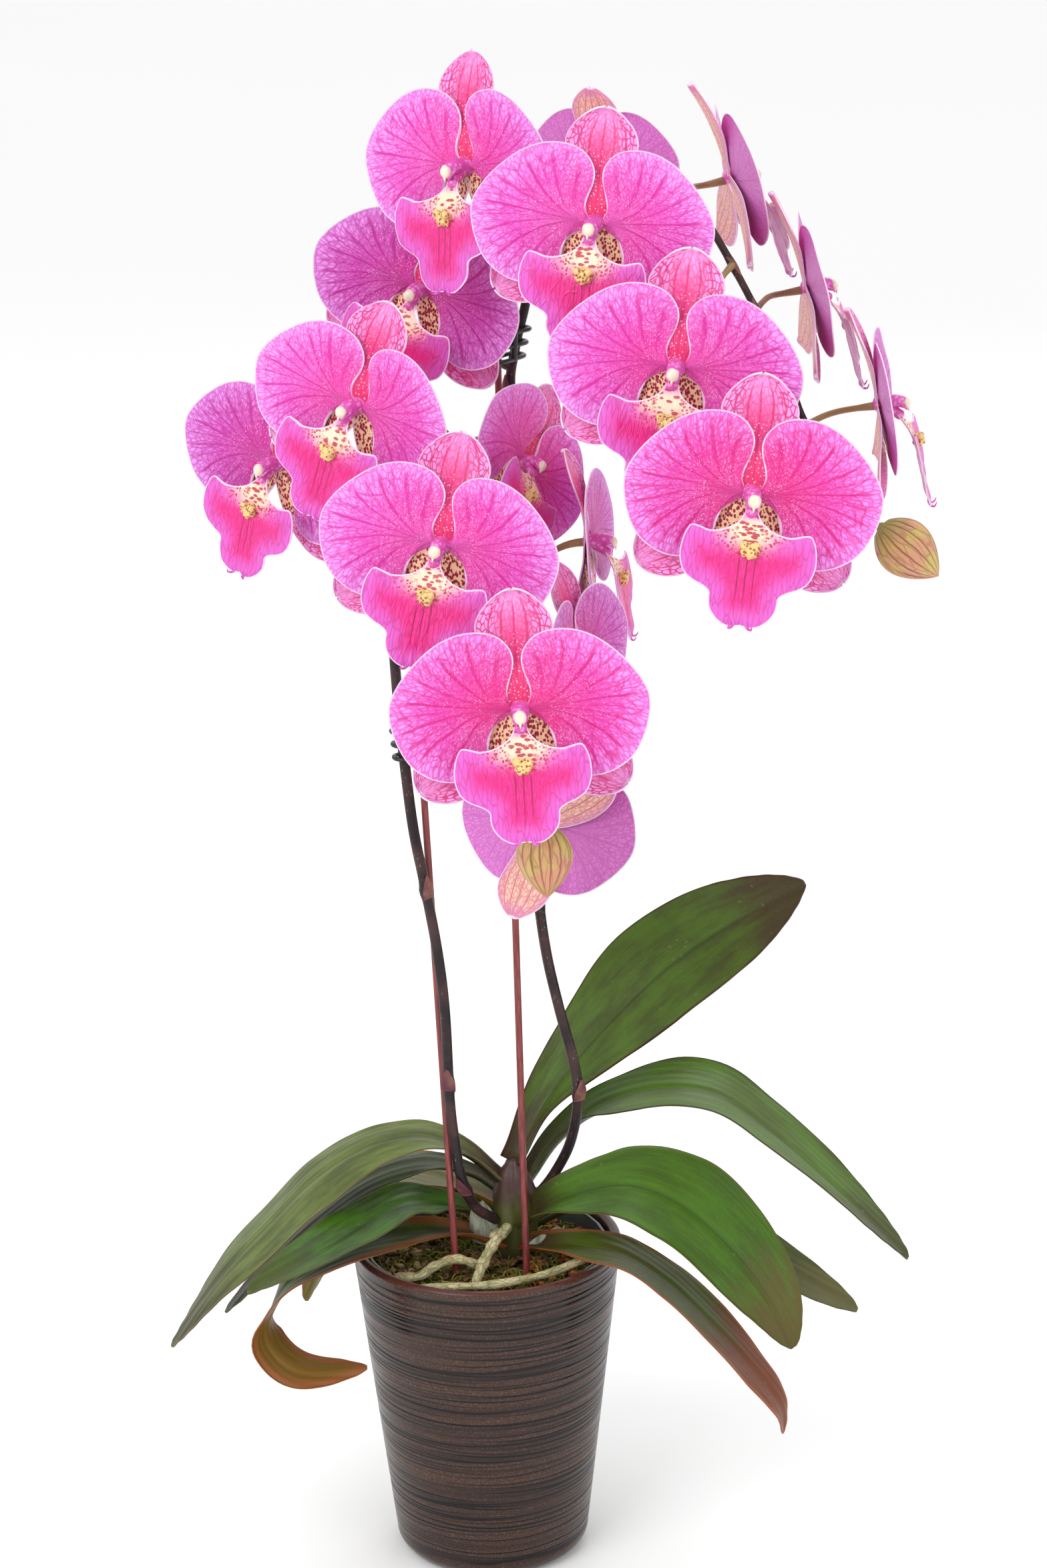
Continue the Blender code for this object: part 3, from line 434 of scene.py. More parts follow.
PETAL_PLAN = petal_plan()


def petal(side, seed):
    """A broad rounded petal fanning from its claw; side is 1 for the right one and -1 for the left."""
    x, z, u, v, rim = PETAL_PLAN
    far = np.hypot(x, z) / (PETAL_REACH / MM)
    depth = -0.4 - 6.2 * far ** 2 + 2.8 * np.abs(v) ** 2.5 * u
    depth += 0.55 * ripple(v * 3.1, u * 2.0, seed + side) * eased(u, 0.45, 1.0)
    depth += 0.16 * np.cos(v * 21 + seed) * eased(u, 0.1, 0.4) * (1 - eased(u, 0.6, 1.0))
    depth += 0.9 * eased(u, 0.86, 1.0) ** 2
    points = spread(x * side, depth, z) * MM
    fan = spread(v * 2.0, np.log(far + 0.06), seed + side * 1.7)
    if side < 0:
        points, fan, rim = points[:, ::-1], fan[:, ::-1], rim[:, ::-1]
    return blade(points, MM * (0.55 + 0.5 * (1 - u)), fan, rim, PETAL_SLOT)


def sepal(widths, length, axis, start, lean, shift, seed):
    """A sepal behind the petals."""
    seed += shift
    u = np.sin(np.linspace(0, 0.5, 40) * math.pi)[:, None] ** 0.96
    v = np.linspace(-1, 1, 33)
    shape = smooth_route(widths, 80)
    half = np.interp(u, shape[:, 0], shape[:, 1])
    along, side = 1.0 + u * (length - 1.0), half * v
    depth = start + lean * length * u ** 2 - 1.9 * v ** 2 * eased(u, 0.05, 0.5) + 0.5 * bell(v, 0.12)
    depth = depth + 0.5 * ripple(v * 1.4, u * 3.0, seed) * eased(u, 0.4, 1.0)
    cos, sin = math.cos(math.radians(axis)), math.sin(math.radians(axis))
    points = spread(along * cos + side * sin, depth, along * sin - side * cos) * MM
    rim = np.minimum(half * (1 - np.abs(v)), (1 - u) * length * 0.6)
    return blade(points[:, ::-1], 0.75 * MM, spread(v, u, seed)[:, ::-1], rim[:, ::-1], SEPAL_SLOT)


def lip_plan():
    """The flat lip: its points, its rows' drop, width and forward place, and the distance from the edge."""
    v = np.linspace(-1, 1, 41)
    drop, wide, edge_drop, forward = (column[:, None] for column in smooth_route(LIP_ROWS, 84).T)
    x = wide * v
    z = -(drop + (edge_drop - drop) * np.abs(v) ** 1.6)
    margin = smooth_route(spread(x[:, -1], z[:, -1]), 500)
    return x, z, v, drop, wide, forward, edge_distance(x, z, np.concatenate([margin, margin * (-1, 1)]))


LIP_PLAN = lip_plan()


def lip(seed):
    """The lip: a narrow isthmus, two wide side lobes and a middle lobe."""
    x, z, v, drop, wide, forward, rim = LIP_PLAN
    share = np.abs(v)
    winged = np.clip(wide / 28.8, 0, 1)
    cup = 3.2 * winged * share ** 2 - 2.2 * winged * share ** 8
    groove = 0.5 * bell(x, 0.7) + 0.28 * bell(np.abs(x) - 3.2, 0.6)
    depth = -forward - cup + groove * eased(drop, 25, 29) + 0.3 * ripple(x * 0.2, z * 0.2, seed) * share
    points = spread(x, depth - 1.6 * eased(drop, 45, 53), z) * MM
    return blade(points, 0.8 * MM, spread(x / 10, z / 10, seed), rim, LIP_SLOT)


# centre, half axes, roughness, scale of the roughness, shift of the seed, rows, columns
CALLUS = (((0.3, -15.6, -20.8), (3.7, 2.9, 3.5), 0.42, 2.1, 2, 20, 26),
          ((-2.2, -16.8, -18.8), (2.0, 2.0, 2.0), 0.3, 2.0, 0, 12, 14),
          ((2.6, -16.8, -19.0), (2.0, 2.0, 2.0), 0.3, 2.0, 0, 12, 14))
HORN = ((2.4, -16.8, -52.0), (3.6, -17.8, -54.0), (5.0, -19.4, -54.0), (4.6, -20.6, -52.2))
WING = ((1.6, -5.0, 0.4), (2.7, -8.4, -0.4), (2.6, -11.0, -2.2), (1.5, -12.0, -3.6))
COLUMN = ((0, 1.6, 0.2), (0, -2.0, 0.9), (0, -6.0, 1.1), (0, -9.6, 0.3), (0, -11.2, -0.9))
COLUMN_FOOT = ((0, -1.6, -1.6), (0, -5.4, -4.0), (0, -8.4, -6.4))
BEAK = ((0, -12.4, -2.2), (0, -13.0, -3.8), (0, -12.6, -5.2))


def lip_details(seed):
    """Callus, tip horns, column and anther cap."""
    made = [lump(mm(centre), mm(size), CALLUS_SLOT, rough, scale, seed + shift, rows, columns)
            for centre, size, rough, scale, shift, rows, columns in CALLUS]

    def limb(points, radii, sides, slot, side=1):
        route = smooth_route(mm(points) * (side, 1, 1), len(radii))
        made.append(tube(route, mm(radii), sides, slot, seed))

    for side in (-1, 1):
        limb(HORN, np.linspace(0.9, 0.2, 20), 10, LIP_SLOT, side)
        points = made[-1]["points"]
        made[-1].update(fan=spread(points[:, 0] * 100, points[:, 2] * 100, seed),
                        rim=np.full(len(points), 1.6))
        limb(WING, np.linspace(1.1, 0.5, 14), 10, COLUMN_SLOT, side)
    limb(COLUMN, np.interp(np.linspace(0, 1, 22), (0, 0.3, 0.8, 1), (4.4, 3.5, 3.2, 2.6)), 20, COLUMN_SLOT)
    limb(COLUMN_FOOT, np.full(10, 2.6), 14, COLUMN_SLOT)
    made.append(lump(mm((0, -11.9, -0.6)), mm((2.8, 2.3, 3.0)), CAP_SLOT, 0.12, 1.6, seed, 16, 20))
    limb(BEAK, np.linspace(1.0, 0.15, 8), 10, CAP_SLOT)
    return made


# ---------------------------------------------------------------- flowers: materials
def petal_material(name, body, pale, heart, vein):
    s = Shader(name, 0.44, 0.35)
    place, fan, rim = s.place, s.fan, s.rim
    radius = s.part(fan, 1)
    far = s.math("EXPONENT", radius)
    across = s.times(s.part(s.warp(fan, 1.6, 0.16), 0), 1.5)
    width = s.math("DIVIDE", 0.040, far)
    main = s.times(s.stripes(across, width), s.ramp(rim, 1.5, 9.0))
    branch = s.times(s.stripes(s.add(across, 0.5), width), s.ramp(far, 0.26, 0.42), s.ramp(rim, 1.0, 7.0))
    twig = s.times(s.stripes(s.add(s.times(across, 2.0), 0.5), s.times(width, 1.5)),
                   s.ramp(far, 0.48, 0.66), s.ramp(rim, 0.8, 5.0))
    veins = s.most(main, s.most(s.times(branch, 0.85), s.times(twig, 0.62)))
    mesh = s.times(s.net(s.warp(fan, 5.0, 0.05), 7.0, 5.0, 0.055), s.ramp(rim, 0.6, 5.0))
    tight = s.stretch(s.warp(fan, 9.0, 0.03), 23.0, 14.0, 1.0)
    fine = s.ramp(s.cells(tight, 1.0, "DISTANCE_TO_EDGE"), 0.15, 0.03)
    behind = s.lay((212, 124, 202), ((162, 50, 140), s.most(fine, veins), 0.42),
                   ((184, 56, 134), s.ramp(radius, -0.9, -2.2)))
    lined = s.lay(body, (pale, s.ramp(rim, 19.0, 0.5), 0.95), (heart, s.ramp(radius, -0.04, -1.15), 0.92),
                  (pale, s.clouds(place, 42.0, 0.35, 0.75, 2.0), 0.28),
                  ((248, 186, 244), s.dots(tight, 1.0, 0.50, 0.10), s.ramp(rim, 32.0, 3.0), 0.34),
                  (vein, fine, 0.50), (vein, mesh, 0.55), (vein, veins, 0.85),
                  ((255, 205, 238), s.dots(place, 1000.0, 0.32, 0.16), s.ramp(radius, -0.05, -0.7),
                   s.clouds(place, 160.0, 0.44, 0.60), 0.62),
                  (behind, s.back), ((250, 220, 248), s.ramp(rim, 0.80, 0.30)))
    s.glow(0.08, 0.003, (1.0, 0.35, 0.7))
    s.bump(s.less(s.times(s.cells(place, 2600.0), 0.25), s.most(s.times(fine, 0.6), veins)), 0.00026, 0.6)
    return s.colour(lined)


def sepal_material():
    s = Shader("sepal_tissue", 0.44, 0.35)
    place, rim = s.place, s.rim
    across, along = s.part(s.fan, 0), s.part(s.fan, 1)
    bent = s.warp(s.fan, 3.0, 0.10)
    outer = s.ramp(s.math("ABSOLUTE", across), 0.12, 0.75)
    mesh = s.net(bent, 9.0, 16.0, 0.17)
    ribs = s.stripes(s.times(s.part(bent, 0), 3.0), 0.14)
    spots = s.dots(s.warp(s.stretch(place, 1.0, 1.0, 0.7), 400.0, 0.0008), 900.0, 0.60, 0.42)
    throat = s.lay((246, 212, 164), ((146, 22, 54), spots))
    lateral = s.ramp(s.part(s.fan, 2), 49.5, 50.5)
    behind = s.lay((240, 196, 176), ((190, 60, 104), s.most(s.times(mesh, 0.7), ribs), 0.75),
                   ((206, 108, 176), s.ramp(rim, 6.0, 0.5), 0.6))
    lined = s.lay((236, 70, 140), ((240, 156, 222), s.most(outer, s.ramp(along, 0.55, 1.0))),
                  ((232, 62, 116), s.ramp(along, 0.45, 0.1)),
                  ((198, 24, 112), mesh, s.add(0.40, s.times(outer, 0.5))),
                  ((204, 22, 100), ribs, 0.74, s.ramp(along, 1.0, 0.82)),
                  ((255, 214, 228), s.dots(place, 760.0, 0.30, 0.15), s.ramp(along, 0.75, 0.5), 0.8),
                  (throat, s.ramp(along, 0.50, 0.40), lateral),
                  (behind, s.back), ((250, 218, 242), s.ramp(rim, 0.75, 0.28)))
    s.glow(0.10, 0.004, (1.0, 0.35, 0.6))
    s.bump(s.less(s.times(s.cells(place, 2600.0), 0.2), s.most(mesh, ribs)), 0.0002, 0.5)
    return s.colour(lined)


def lip_material():
    s = Shader("lip_tissue", 0.34, 0.5)
    fan, rim = s.fan, s.rim
    x, z = s.math("ABSOLUTE", s.part(fan, 0)), s.part(fan, 1)
    rays = s.net(s.warp(fan, 2.0, 0.12), 5.2, 1.1, 0.10)
    body = s.lay((226, 28, 132), ((214, 96, 200), s.ramp(rim, 12.0, 1.5)),
                 ((240, 90, 176), s.clouds(s.stretch(fan, 6.0, 1.2, 1.0), 2.6, 0.4, 0.7), 0.30),
                 ((184, 8, 96), rays, 0.40))
    down = s.math("POWER", s.add(z, 1.3), 2.0)
    spread_out = s.math("SQRT", s.add(s.math("POWER", s.times(x, 0.62), 2.0), down))
    spread_out = s.add(spread_out, s.less(s.times(s.noise(fan, 3.0), 0.6), 0.3))
    marks = s.lay(s.dots(s.warp(s.stretch(fan, 1.0, 2.1, 1.0), 5.0, 0.12), 2.9, 0.50, 0.36),
                  (s.dots(s.warp(fan, 5.0, 0.10), 7.5, 0.50, 0.32), s.ramp(x, 0.4, 0.8)))
    grooves = s.times(s.ramp(s.math("PINGPONG", x, 0.17), 0.045, 0.01), s.ramp(x, 0.42, 0.36),
                      s.ramp(z, -2.4, -2.6), s.ramp(z, -5.2, -3.2))
    spotted = s.lay((254, 222, 194), ((244, 128, 184), s.ramp(spread_out, 0.30, 1.05)),
                    ((234, 140, 204), s.ramp(z, -1.1, -0.6)), ((180, 14, 62), marks, 0.92))
    behind = s.lay((196, 92, 170), ((160, 40, 120), rays, 0.35))
    s.glow(0.10, 0.004, (1.0, 0.3, 0.5))
    s.bump(s.less(s.times(s.noise(s.place, 1400.0), 0.4), rays), 0.0003, 0.5)
    return s.colour(s.lay(body, (spotted, s.ramp(spread_out, 1.35, 0.60)), ((140, 6, 50), grooves, 0.8),
                          (behind, s.back), ((250, 216, 244), s.ramp(rim, 0.75, 0.28))))


def spotted_material(name, base, spot, scale, size, roughness):
    """Pale tissue with small dark spots."""
    s = Shader(name, roughness)
    spots = s.dots(s.warp(s.place, 300.0, 0.0012), scale, size, size * 0.6)
    s.glow(0.15, 0.002, (1.0, 0.6, 0.5))
    s.bump(s.noise(s.place, 900.0), 0.0003, 0.6)
    return s.colour(s.lay(base, (scaled(tint(*base), 0.72), s.noise(s.place, 350.0)), (spot, spots, 0.9)))


# body, pale margin, heart and veins: most flowers, the redder ones, and the flowers in shade, whose darker
# tones are painted shade
PETAL_TONES = {
    "a": ((228, 96, 207), (230, 150, 237), (238, 60, 163), (202, 24, 142)),
    "b": ((228, 80, 192), (230, 138, 228), (234, 44, 136), (200, 14, 120)),
    "c": ((208, 84, 194), (216, 136, 220), (212, 46, 152), (170, 20, 132)),
}
REDDER = ("04", "09")
# flowers whose petals take the darker tones, which are painted shade
IN_PAINTED_SHADE = ("05", "07", "11", "12", "13", "14", "15", "16")
NECK = ((0, 4.4, -0.2), (0, 2.6, 0), (0, 0.6, 0), (0, -0.6, 0))
NECK_RADII = (1.7, 2.2, 3.6, 3.8)


def make_flowers():
    petals = [petal_material(f"petal_tissue_{kind}", *tones) for kind, tones in PETAL_TONES.items()]
    sepals = sepal_material()
    neck = spotted_material("neck_tissue", (200, 110, 160), (150, 60, 110), 900.0, 0.3, 0.5)
    lips = [lip_material(),
            spotted_material("callus_tissue", (246, 214, 140), (156, 40, 50), 620.0, 0.46, 0.4),
            spotted_material("column_tissue", (226, 92, 186), (236, 150, 214), 500.0, 0.5, 0.36),
            spotted_material("anther_tissue", (250, 236, 214), (240, 214, 190), 600.0, 0.4, 0.35)]
    for number, facts in FLOWERS.items():
        seed = int(number) * 1.37
        at = flower_matrix(*facts)
        # the third tone set paints shade onto the flowers in shade
        tone = petals[1 if number in REDDER else 2 if number in IN_PAINTED_SHADE else 0]
        tepals = [petal(1, seed), petal(-1, seed), *(sepal(*shape, seed) for shape in SEPALS),
                  tube(mm(NECK), mm(NECK_RADII), 20, NECK_SLOT, seed)]
        build(f"bloom_{number}", [moved(part, at) for part in tepals], [tone, sepals, neck],
              f"flower_{number}")
        build(f"bloom_lip_{number}", [moved(part, at) for part in [lip(seed), *lip_details(seed)]],
              lips, f"lip_{number}")


# ---------------------------------------------------------------- spikes, buds, stakes and clips
SPIKE_RADIUS = 0.0025
SPIKE_TIP_RADIUS = 0.0013
STAKE_RADIUS = 0.00165
STAKE_BURIED = 0.06
# routes: spikes from the crown to the tip, stakes from the bark to the head
SPIKES = {
    "left": mm(((4.5, -7, 172), (-5, -14, 182), (-11, -19, 199), (-13.5, -20.5, 217), (-15.5, -21.5, 240),
                (-17, -18.5, 285), (-20, -16.5, 316), (-25, -14.5, 347), (-30.5, -10, 380), (-36, -4, 450),
                (-37, 0, 500), (-34, -6, 540), (-26, -18, 562), (-12, -34, 566), (3, -50, 549),
                (13, -62, 520), (21, -74, 485), (25, -86, 444), (28, -92, 418))),
    "right": mm(((24, 4.5, 178), (33, 4, 190), (41, -2, 209), (45, -8, 234), (43, -8, 254), (37, -4, 278),
                 (31, 2, 306), (27, 10, 340), (23, 18, 400), (21, 27, 470), (19, 36, 560), (22, 36, 587),
                 (27, 36, 607), (32, 34, 632), (43, 28, 656), (61, 20, 672), (82, 10, 672), (103, -5, 658),
                 (122, -22, 628), (138, -38, 595), (151, -52, 565), (164, -66, 544), (171, -72, 536))),
}
STAKES = {"left": mm(((-14.5, -22, 150), (-26, -3.5, 430))), "right": mm(((19, -23, 150), (13.5, 30, 622)))}
SIDE_BRANCH = mm(((19.8, 36, 578), (14, 41, 580), (6, 47, 585), (-4, 54, 595)))
# flower: share of the spike's length at which its pedicel leaves
PEDICELS = {
    "left": {"06": 0.66, "07": 0.62, "08": 0.74, "11": 0.81, "12": 0.87, "09": 0.90, "17": 0.95},
    "right": {"10": 0.48, "01": 0.66, "16": 0.70, "02": 0.725, "13": 0.78, "03": 0.83, "14": 0.86,
              "04": 0.92, "15": 0.94},
}
PEDICEL_RISE = {"04": -0.45, "11": -0.50}
USUAL_RISE = 0.10
STEM_NODES = {"left": (0.045, 0.14, 0.30, 0.43, 0.53), "right": (0.09, 0.22, 0.40, 0.55)}
# base, direction, length, radius
BUDS = {"left": ((30, -94, 401), (0.05, -0.25, -1.0), 33, 12.5),
        "right": ((180, -73, 528), (0.75, -0.10, -0.65), 34, 12.5)}
CLIP_HEIGHTS = {"left": 0.412, "right": 0.590}
CLIP_SPACING, CLIP_REACH, CLIP_WIRE, CLIP_KNOB = 6.2 * MM, 4.6 * MM, 1.05 * MM, 1.9 * MM
SPIKE_SLOT, PEDICEL_SLOT, BRACT_SLOT = 0, 1, 2


def bend_between(start, end, arriving, rise=USUAL_RISE, count=26):
    """A pedicel's route: it leaves the spike towards the flower and bends to arrive on its axis."""
    start, end, arriving = Vector(start), Vector(end), Vector(arriving)
    span = (end - start).length
    first = start + (end - start) * 0.35 + Vector((0, 0, rise * span))
    second = end - arriving * span * 0.42
    return np.array([start * (1 - t) ** 3 + first * 3 * t * (1 - t) ** 2 + second * 3 * t * t * (1 - t)
                     + end * t ** 3 for t in np.linspace(0, 1, count)])


def pedicel_route(start, number):
    at = flower_matrix(*FLOWERS[number])
    facing = at.to_3x3() @ Vector((0, -1, 0))
    return bend_between(start, at @ Vector((0, NECK_LENGTH, 0)), facing, PEDICEL_RISE.get(number, USUAL_RISE))


def bract(centre, along, radius, side, seed):
    """A small pointed scale that clasps the stem at a node."""
    along = Vector(along).normalized()
    facing = (side - along * side.dot(along)).normalized()
    u = np.linspace(0, 1, 14)[:, None]
    v = np.linspace(-1, 1, 17)
    angle = v * (1.25 - 0.95 * u ** 1.4)
    out = radius * (1.10 + 0.22 * np.sin(u * math.pi)) + 0.3 * MM * u
    rise = (u * 11 - 1.6 - 1.2 * v ** 2) * MM
    points = np.array(centre)
    for direction, reach in ((along, rise), (facing, out * np.cos(angle)),
                             (along.cross(facing), out * np.sin(angle))):
        points = points + np.array(direction) * reach[..., None]
    rim = (1 - np.abs(v)) * 3 * np.ones_like(u)
    return blade(points[:, ::-1], 0.35 * MM, spread(v, u, seed)[:, ::-1], rim, BRACT_SLOT)


def spike_parts(side, seed):
    fine = smooth_route(SPIKES[side], 260)
    shares = np.linspace(0, 1, len(fine))
    radii = SPIKE_RADIUS + (SPIKE_TIP_RADIUS - SPIKE_RADIUS) * np.clip((shares - 0.45) / 0.55, 0, 1)
    rings, pedicels = STEM_NODES[side], PEDICELS[side]
    marks = [*rings, *sorted(pedicels.values())]
    for share in marks:
        radii = radii * (1 + (0.30 if share in rings else 0.22) * bell(shares - share, 0.0045))
    parts = [tube(fine, radii, 20, SPIKE_SLOT, seed,
                  lambda turn, share: 0.03 * np.sin(3 * turn + 40 * share))]
    for count, share in enumerate(marks):
        spot = round(share * (len(fine) - 2))
        facing = Vector((math.cos(count * 2.6 + seed), -0.9, 0.1))
        size = radii[spot] * (0.92 if share in rings else 0.80)
        parts.append(bract(fine[spot], fine[spot + 1] - fine[spot], size, facing, count + seed))
    for number, share in pedicels.items():
        stalk = pedicel_route(fine[round(share * (len(fine) - 1))], number)
        thick = np.interp(np.linspace(0, 1, len(stalk)), (0, 0.1, 0.8, 1), (1.9, 1.35, 1.4, 1.9)) * MM
        parts.append(tube(stalk, thick, 16, PEDICEL_SLOT, int(number),
                          lambda turn, share: 0.05 * np.sin(6 * turn)))
    base, pointing, _, _ = BUDS[side]
    stalk = bend_between(fine[-1], mm(base), Vector(pointing).normalized(), USUAL_RISE, 14)
    return [*parts, tube(stalk, 1.25 * MM, 16, PEDICEL_SLOT, seed)]


def bud_parts(base, pointing, length, radius, seed):
    """A closed bud: three sepals meet in seams that run from the stalk to the tip."""
    share = np.linspace(0.0, 1, 40)
    outline = radius * np.sin(math.pi * (0.04 + 0.955 * share) ** 0.85) ** 0.78
    outline[0] = 2.2

    def seams(turn, along):
        crease = np.abs(np.sin(1.5 * (turn + 0.5 * along + 0.4 * seed)))
        return -0.10 * bell(crease, 0.13) * eased(along, 0.04, 0.25) + 0.04 * np.cos(2 * turn)

    part = tube(spread(0, 0, share * length * 0.985) * MM, outline * MM, 64, 0, seed, seams)
    turn = Vector(pointing).to_track_quat("Z", "Y").to_matrix().to_4x4()
    return [moved(part, Matrix.Translation(mm(base)) @ turn)]


def at_height(points, height):
    route = smooth_route(points, 600)
    return Vector(route[np.argmax(route[:, 2] >= height)])


def clip_parts(side):
    """A ribbed clip: three loops round stem and stake, with a knob at the end of each."""
    foot, head = STAKES[side]
    parts, joints = [], []
    for level in (-1, 0, 1):
        tall = CLIP_HEIGHTS[side] + level * CLIP_SPACING
        stem = at_height(SPIKES[side], tall)
        rod = Vector(foot).lerp(Vector(head), (tall - foot[2]) / (head[2] - foot[2]))
        across = Vector((rod.x - stem.x, rod.y - stem.y, 0))
        along, outward = across.normalized(), Vector((-across.y, across.x, 0)).normalized()
        if outward.y > 0:
            outward = -outward
        centre = (rod + stem) / 2
        centre.z = tall
        reach = across.length / 2
        ring = []
        for angle in np.linspace(0, FULL_TURN, 49):
            shift = reach * math.tanh(4 * math.cos(angle)) + CLIP_REACH * math.cos(angle)
            ring.append(centre + along * shift + outward * (CLIP_REACH * math.sin(angle)))
        parts.append(tube(ring, CLIP_WIRE, 14, 0, level))
        parts.append(lump(centre + along * (reach + CLIP_REACH + 1.2 * MM), [CLIP_KNOB] * 3))
        joints.append(centre + outward * CLIP_REACH)
    return [*parts, tube(smooth_route(joints, 12), 1.5 * MM, 14)]


def stem_material(name, dark, light, warm):
    """Dark stem: near-black purple with pale pin-head flecks, warmer in patches."""
    s = Shader(name, 0.42, 0.3)
    flecks = s.dots(s.stretch(s.place, 1.0, 1.0, 0.55), 620.0, 0.26, 0.12)
    s.bump(s.noise(s.stretch(s.place, 1.0, 1.0, 0.25), 700.0), 0.0003, 0.5)
    return s.colour(s.lay(dark, (warm, s.clouds(s.place, 60.0, 0.38, 0.66, 4.0)),
                          (light, flecks, s.clouds(s.place, 120.0, 0.45, 0.6), 0.7)))


def pedicel_material():
    s = Shader("pedicel_skin", 0.42)
    grain = s.cells(s.stretch(s.place, 1.0, 1.0, 0.4), 900.0)
    s.bump(grain, 0.0002, 0.4)
    return s.colour(s.lay((152, 128, 78), ((128, 88, 80), s.clouds(s.place, 50.0, 0.4, 0.62)),
                          ((196, 178, 130), s.ramp(grain, 0.25, 0.1), 0.5)))


def bud_material():
    s = Shader("bud_tissue", 0.42)
    fan, place = s.fan, s.place
    veins = s.net(s.warp(s.stretch(fan, 1.0, 0.1, 1.0), 1.6, 0.16), 3.2, 0.7, 0.07)
    lines = s.stripes(s.times(s.part(s.warp(fan, 0.3, 0.10), 0), 2.6), 0.15)
    s.glow(0.1, 0.004, (1.0, 0.6, 0.3))
    s.bump(s.less(s.times(s.noise(place, 900.0), 0.4), veins), 0.0003, 0.5)
    return s.colour(s.lay((196, 176, 96), ((204, 146, 112), s.clouds(place, 70.0, 0.36, 0.64, 2.0)),
                          ((150, 146, 72), s.ramp(s.rim, 0.35, 0.05)),
                          ((122, 36, 46), s.most(s.times(veins, 0.45), lines), 0.75)))


def stake_material():
    s = Shader("stake_coating", 0.38)
    grain = s.noise(s.stretch(s.place, 1.0, 1.0, 0.08), 900.0)
    s.bump(grain, 0.0002, 0.5)
    return s.colour(s.lay((112, 42, 44), ((142, 66, 64), s.ramp(grain, 0.35, 0.7))))


def clip_material():
    s = Shader("clip_moulding", 0.36)
    s.bump(s.noise(s.place, 1500.0), 0.0001, 0.4)
    return s.colour(s.lay((14, 17, 17), ((36, 40, 40), s.noise(s.place, 120.0))))


def make_stems():
    skins = [stem_material("spike_skin", (34, 25, 28), (126, 112, 100), (66, 44, 44)), pedicel_material(),
             stem_material("bract_skin", (92, 46, 58), (150, 120, 96), (134, 92, 74))]
    branch = [tube(smooth_route(SIDE_BRANCH, 24), np.linspace(1.9, 1.5, 24) * MM, 16, SPIKE_SLOT, 3),
              tube(pedicel_route(SIDE_BRANCH[-1], "05"), 1.35 * MM, 16, PEDICEL_SLOT, 5)]
    build("stem_right", [*spike_parts("right", 1), *branch], skins, "spike_right")
    build("stem_left", spike_parts("left", 2), skins, "spike_left")
    tissue, coating, plastic = bud_material(), stake_material(), clip_material()
    for seed, (side, (base, pointing, length, radius)) in enumerate(BUDS.items(), 1):
        build(f"closed_bud_{side}", bud_parts(base, pointing, length, radius, seed), [tissue],
              f"bud_{side}")
    for side, ends in STAKES.items():
        foot, head = (Vector(end) for end in ends)
        low = foot + (foot - head).normalized() * STAKE_BURIED
        route = [low.lerp(head, t) for t in np.linspace(0, 1, 40)]
        build(f"rod_{side}", [tube(route, STAKE_RADIUS, 20)], [coating], f"stake_{side}")
        build(f"ribbed_clip_{side}", clip_parts(side), [plastic], f"clip_{side}")


# ---------------------------------------------------------------- leaves
# name: midrib points, width, side vector at the base and at the tip, fold of the margins
LEAVES = {
    "leaf_01": (((5, 2, 190), (-10, 2, 204), (-30, 0, 213), (-55, -4, 210), (-80, -11, 197), (-103, -20, 177),
                 (-127, -32, 155), (-150, -44, 126)), 48, (0.0, 1.0, 0.1), (0.3, 1.0, 0.5), -0.15),
    "leaf_02": (((5, 6, 182), (-8, 11, 189), (-30, 13, 194), (-56, 9, 188), (-82, 1, 172), (-106, -9, 152),
                 (-126, -18, 131)), 35, (0.0, 1.0, 0.0), (0.2, 1.0, 0.3), -0.15),
    "leaf_03": (((4.5, 1, 167), (-10, -1, 175), (-24, -7, 181), (-40, -20, 186), (-62, -43, 183),
                 (-88, -66, 177), (-110, -80, 170)), 34, (0.2, 1.0, 0.0), (0.1, 1.0, 0.2), 0.12),
    "leaf_04": (((5, -4, 158), (-12, -6, 165), (-34, -18, 171), (-62, -34, 172), (-88, -46, 163),
                 (-101, -52, 148), (-103, -56, 134), (-88, -58, 120), (-57, -56, 119)),
                34, (0.3, 1.0, 0.0), (0.3, 1.0, 0.4), 0.0),
    "leaf_05": (((10.2, 10.5, 168), (-10, 31, 172), (-35, 47, 174), (-56, 58, 163), (-74, 66, 137),
                 (-85, 68, 112), (-92, 68, 96)), 44, (0.3, 1.0, 0.0), (0.8, 1.0, 0.2), 0.05),
    "leaf_06": (((17, 3, 200.5), (29, 14, 222), (48, 22, 245), (79, 26, 277), (104, 22, 299), (128, 14, 317),
                 (153, 4, 336)), 54, (-0.5, 0.8, 0.3), (-0.5, 0.5, 0.7), 0.18),
    "leaf_07": (((23.5, 7, 189), (36, 17, 203), (56, 18, 219), (84, 6, 232), (110, -2, 232), (134, -10, 218),
                 (165, -20, 192), (200, -32, 159)), 50, (0.0, 1.0, 0.2), (0.1, 1.0, 0.05), 0.12),
    "leaf_08": (((22, -5, 172), (38, -22, 189), (66, -38, 202), (91, -50, 197), (113, -60, 180),
                 (131, -68, 158), (143, -74, 134)), 56, (-0.1, 1.0, 0.3), (0.6, 0.8, 0.5), 0.12),
    "leaf_09": (((23.5, 6, 163), (45, 10, 170), (84, 12, 169), (120, 10, 152), (150, 6, 133), (179, 0, 117)),
                36, (0.0, 1.0, 0.2), (0.1, 1.0, 0.4), 0.10),
    "leaf_10": (((21.5, -6, 158), (41, -26, 166), (64, -42, 168), (86, -52, 157), (105, -58, 139),
                 (123, -63, 119), (136, -66, 101), (139, -64, 85)),
                39, (-0.3, 1.0, 0.1), (0.3, 1.0, 0.2), 0.05),
}
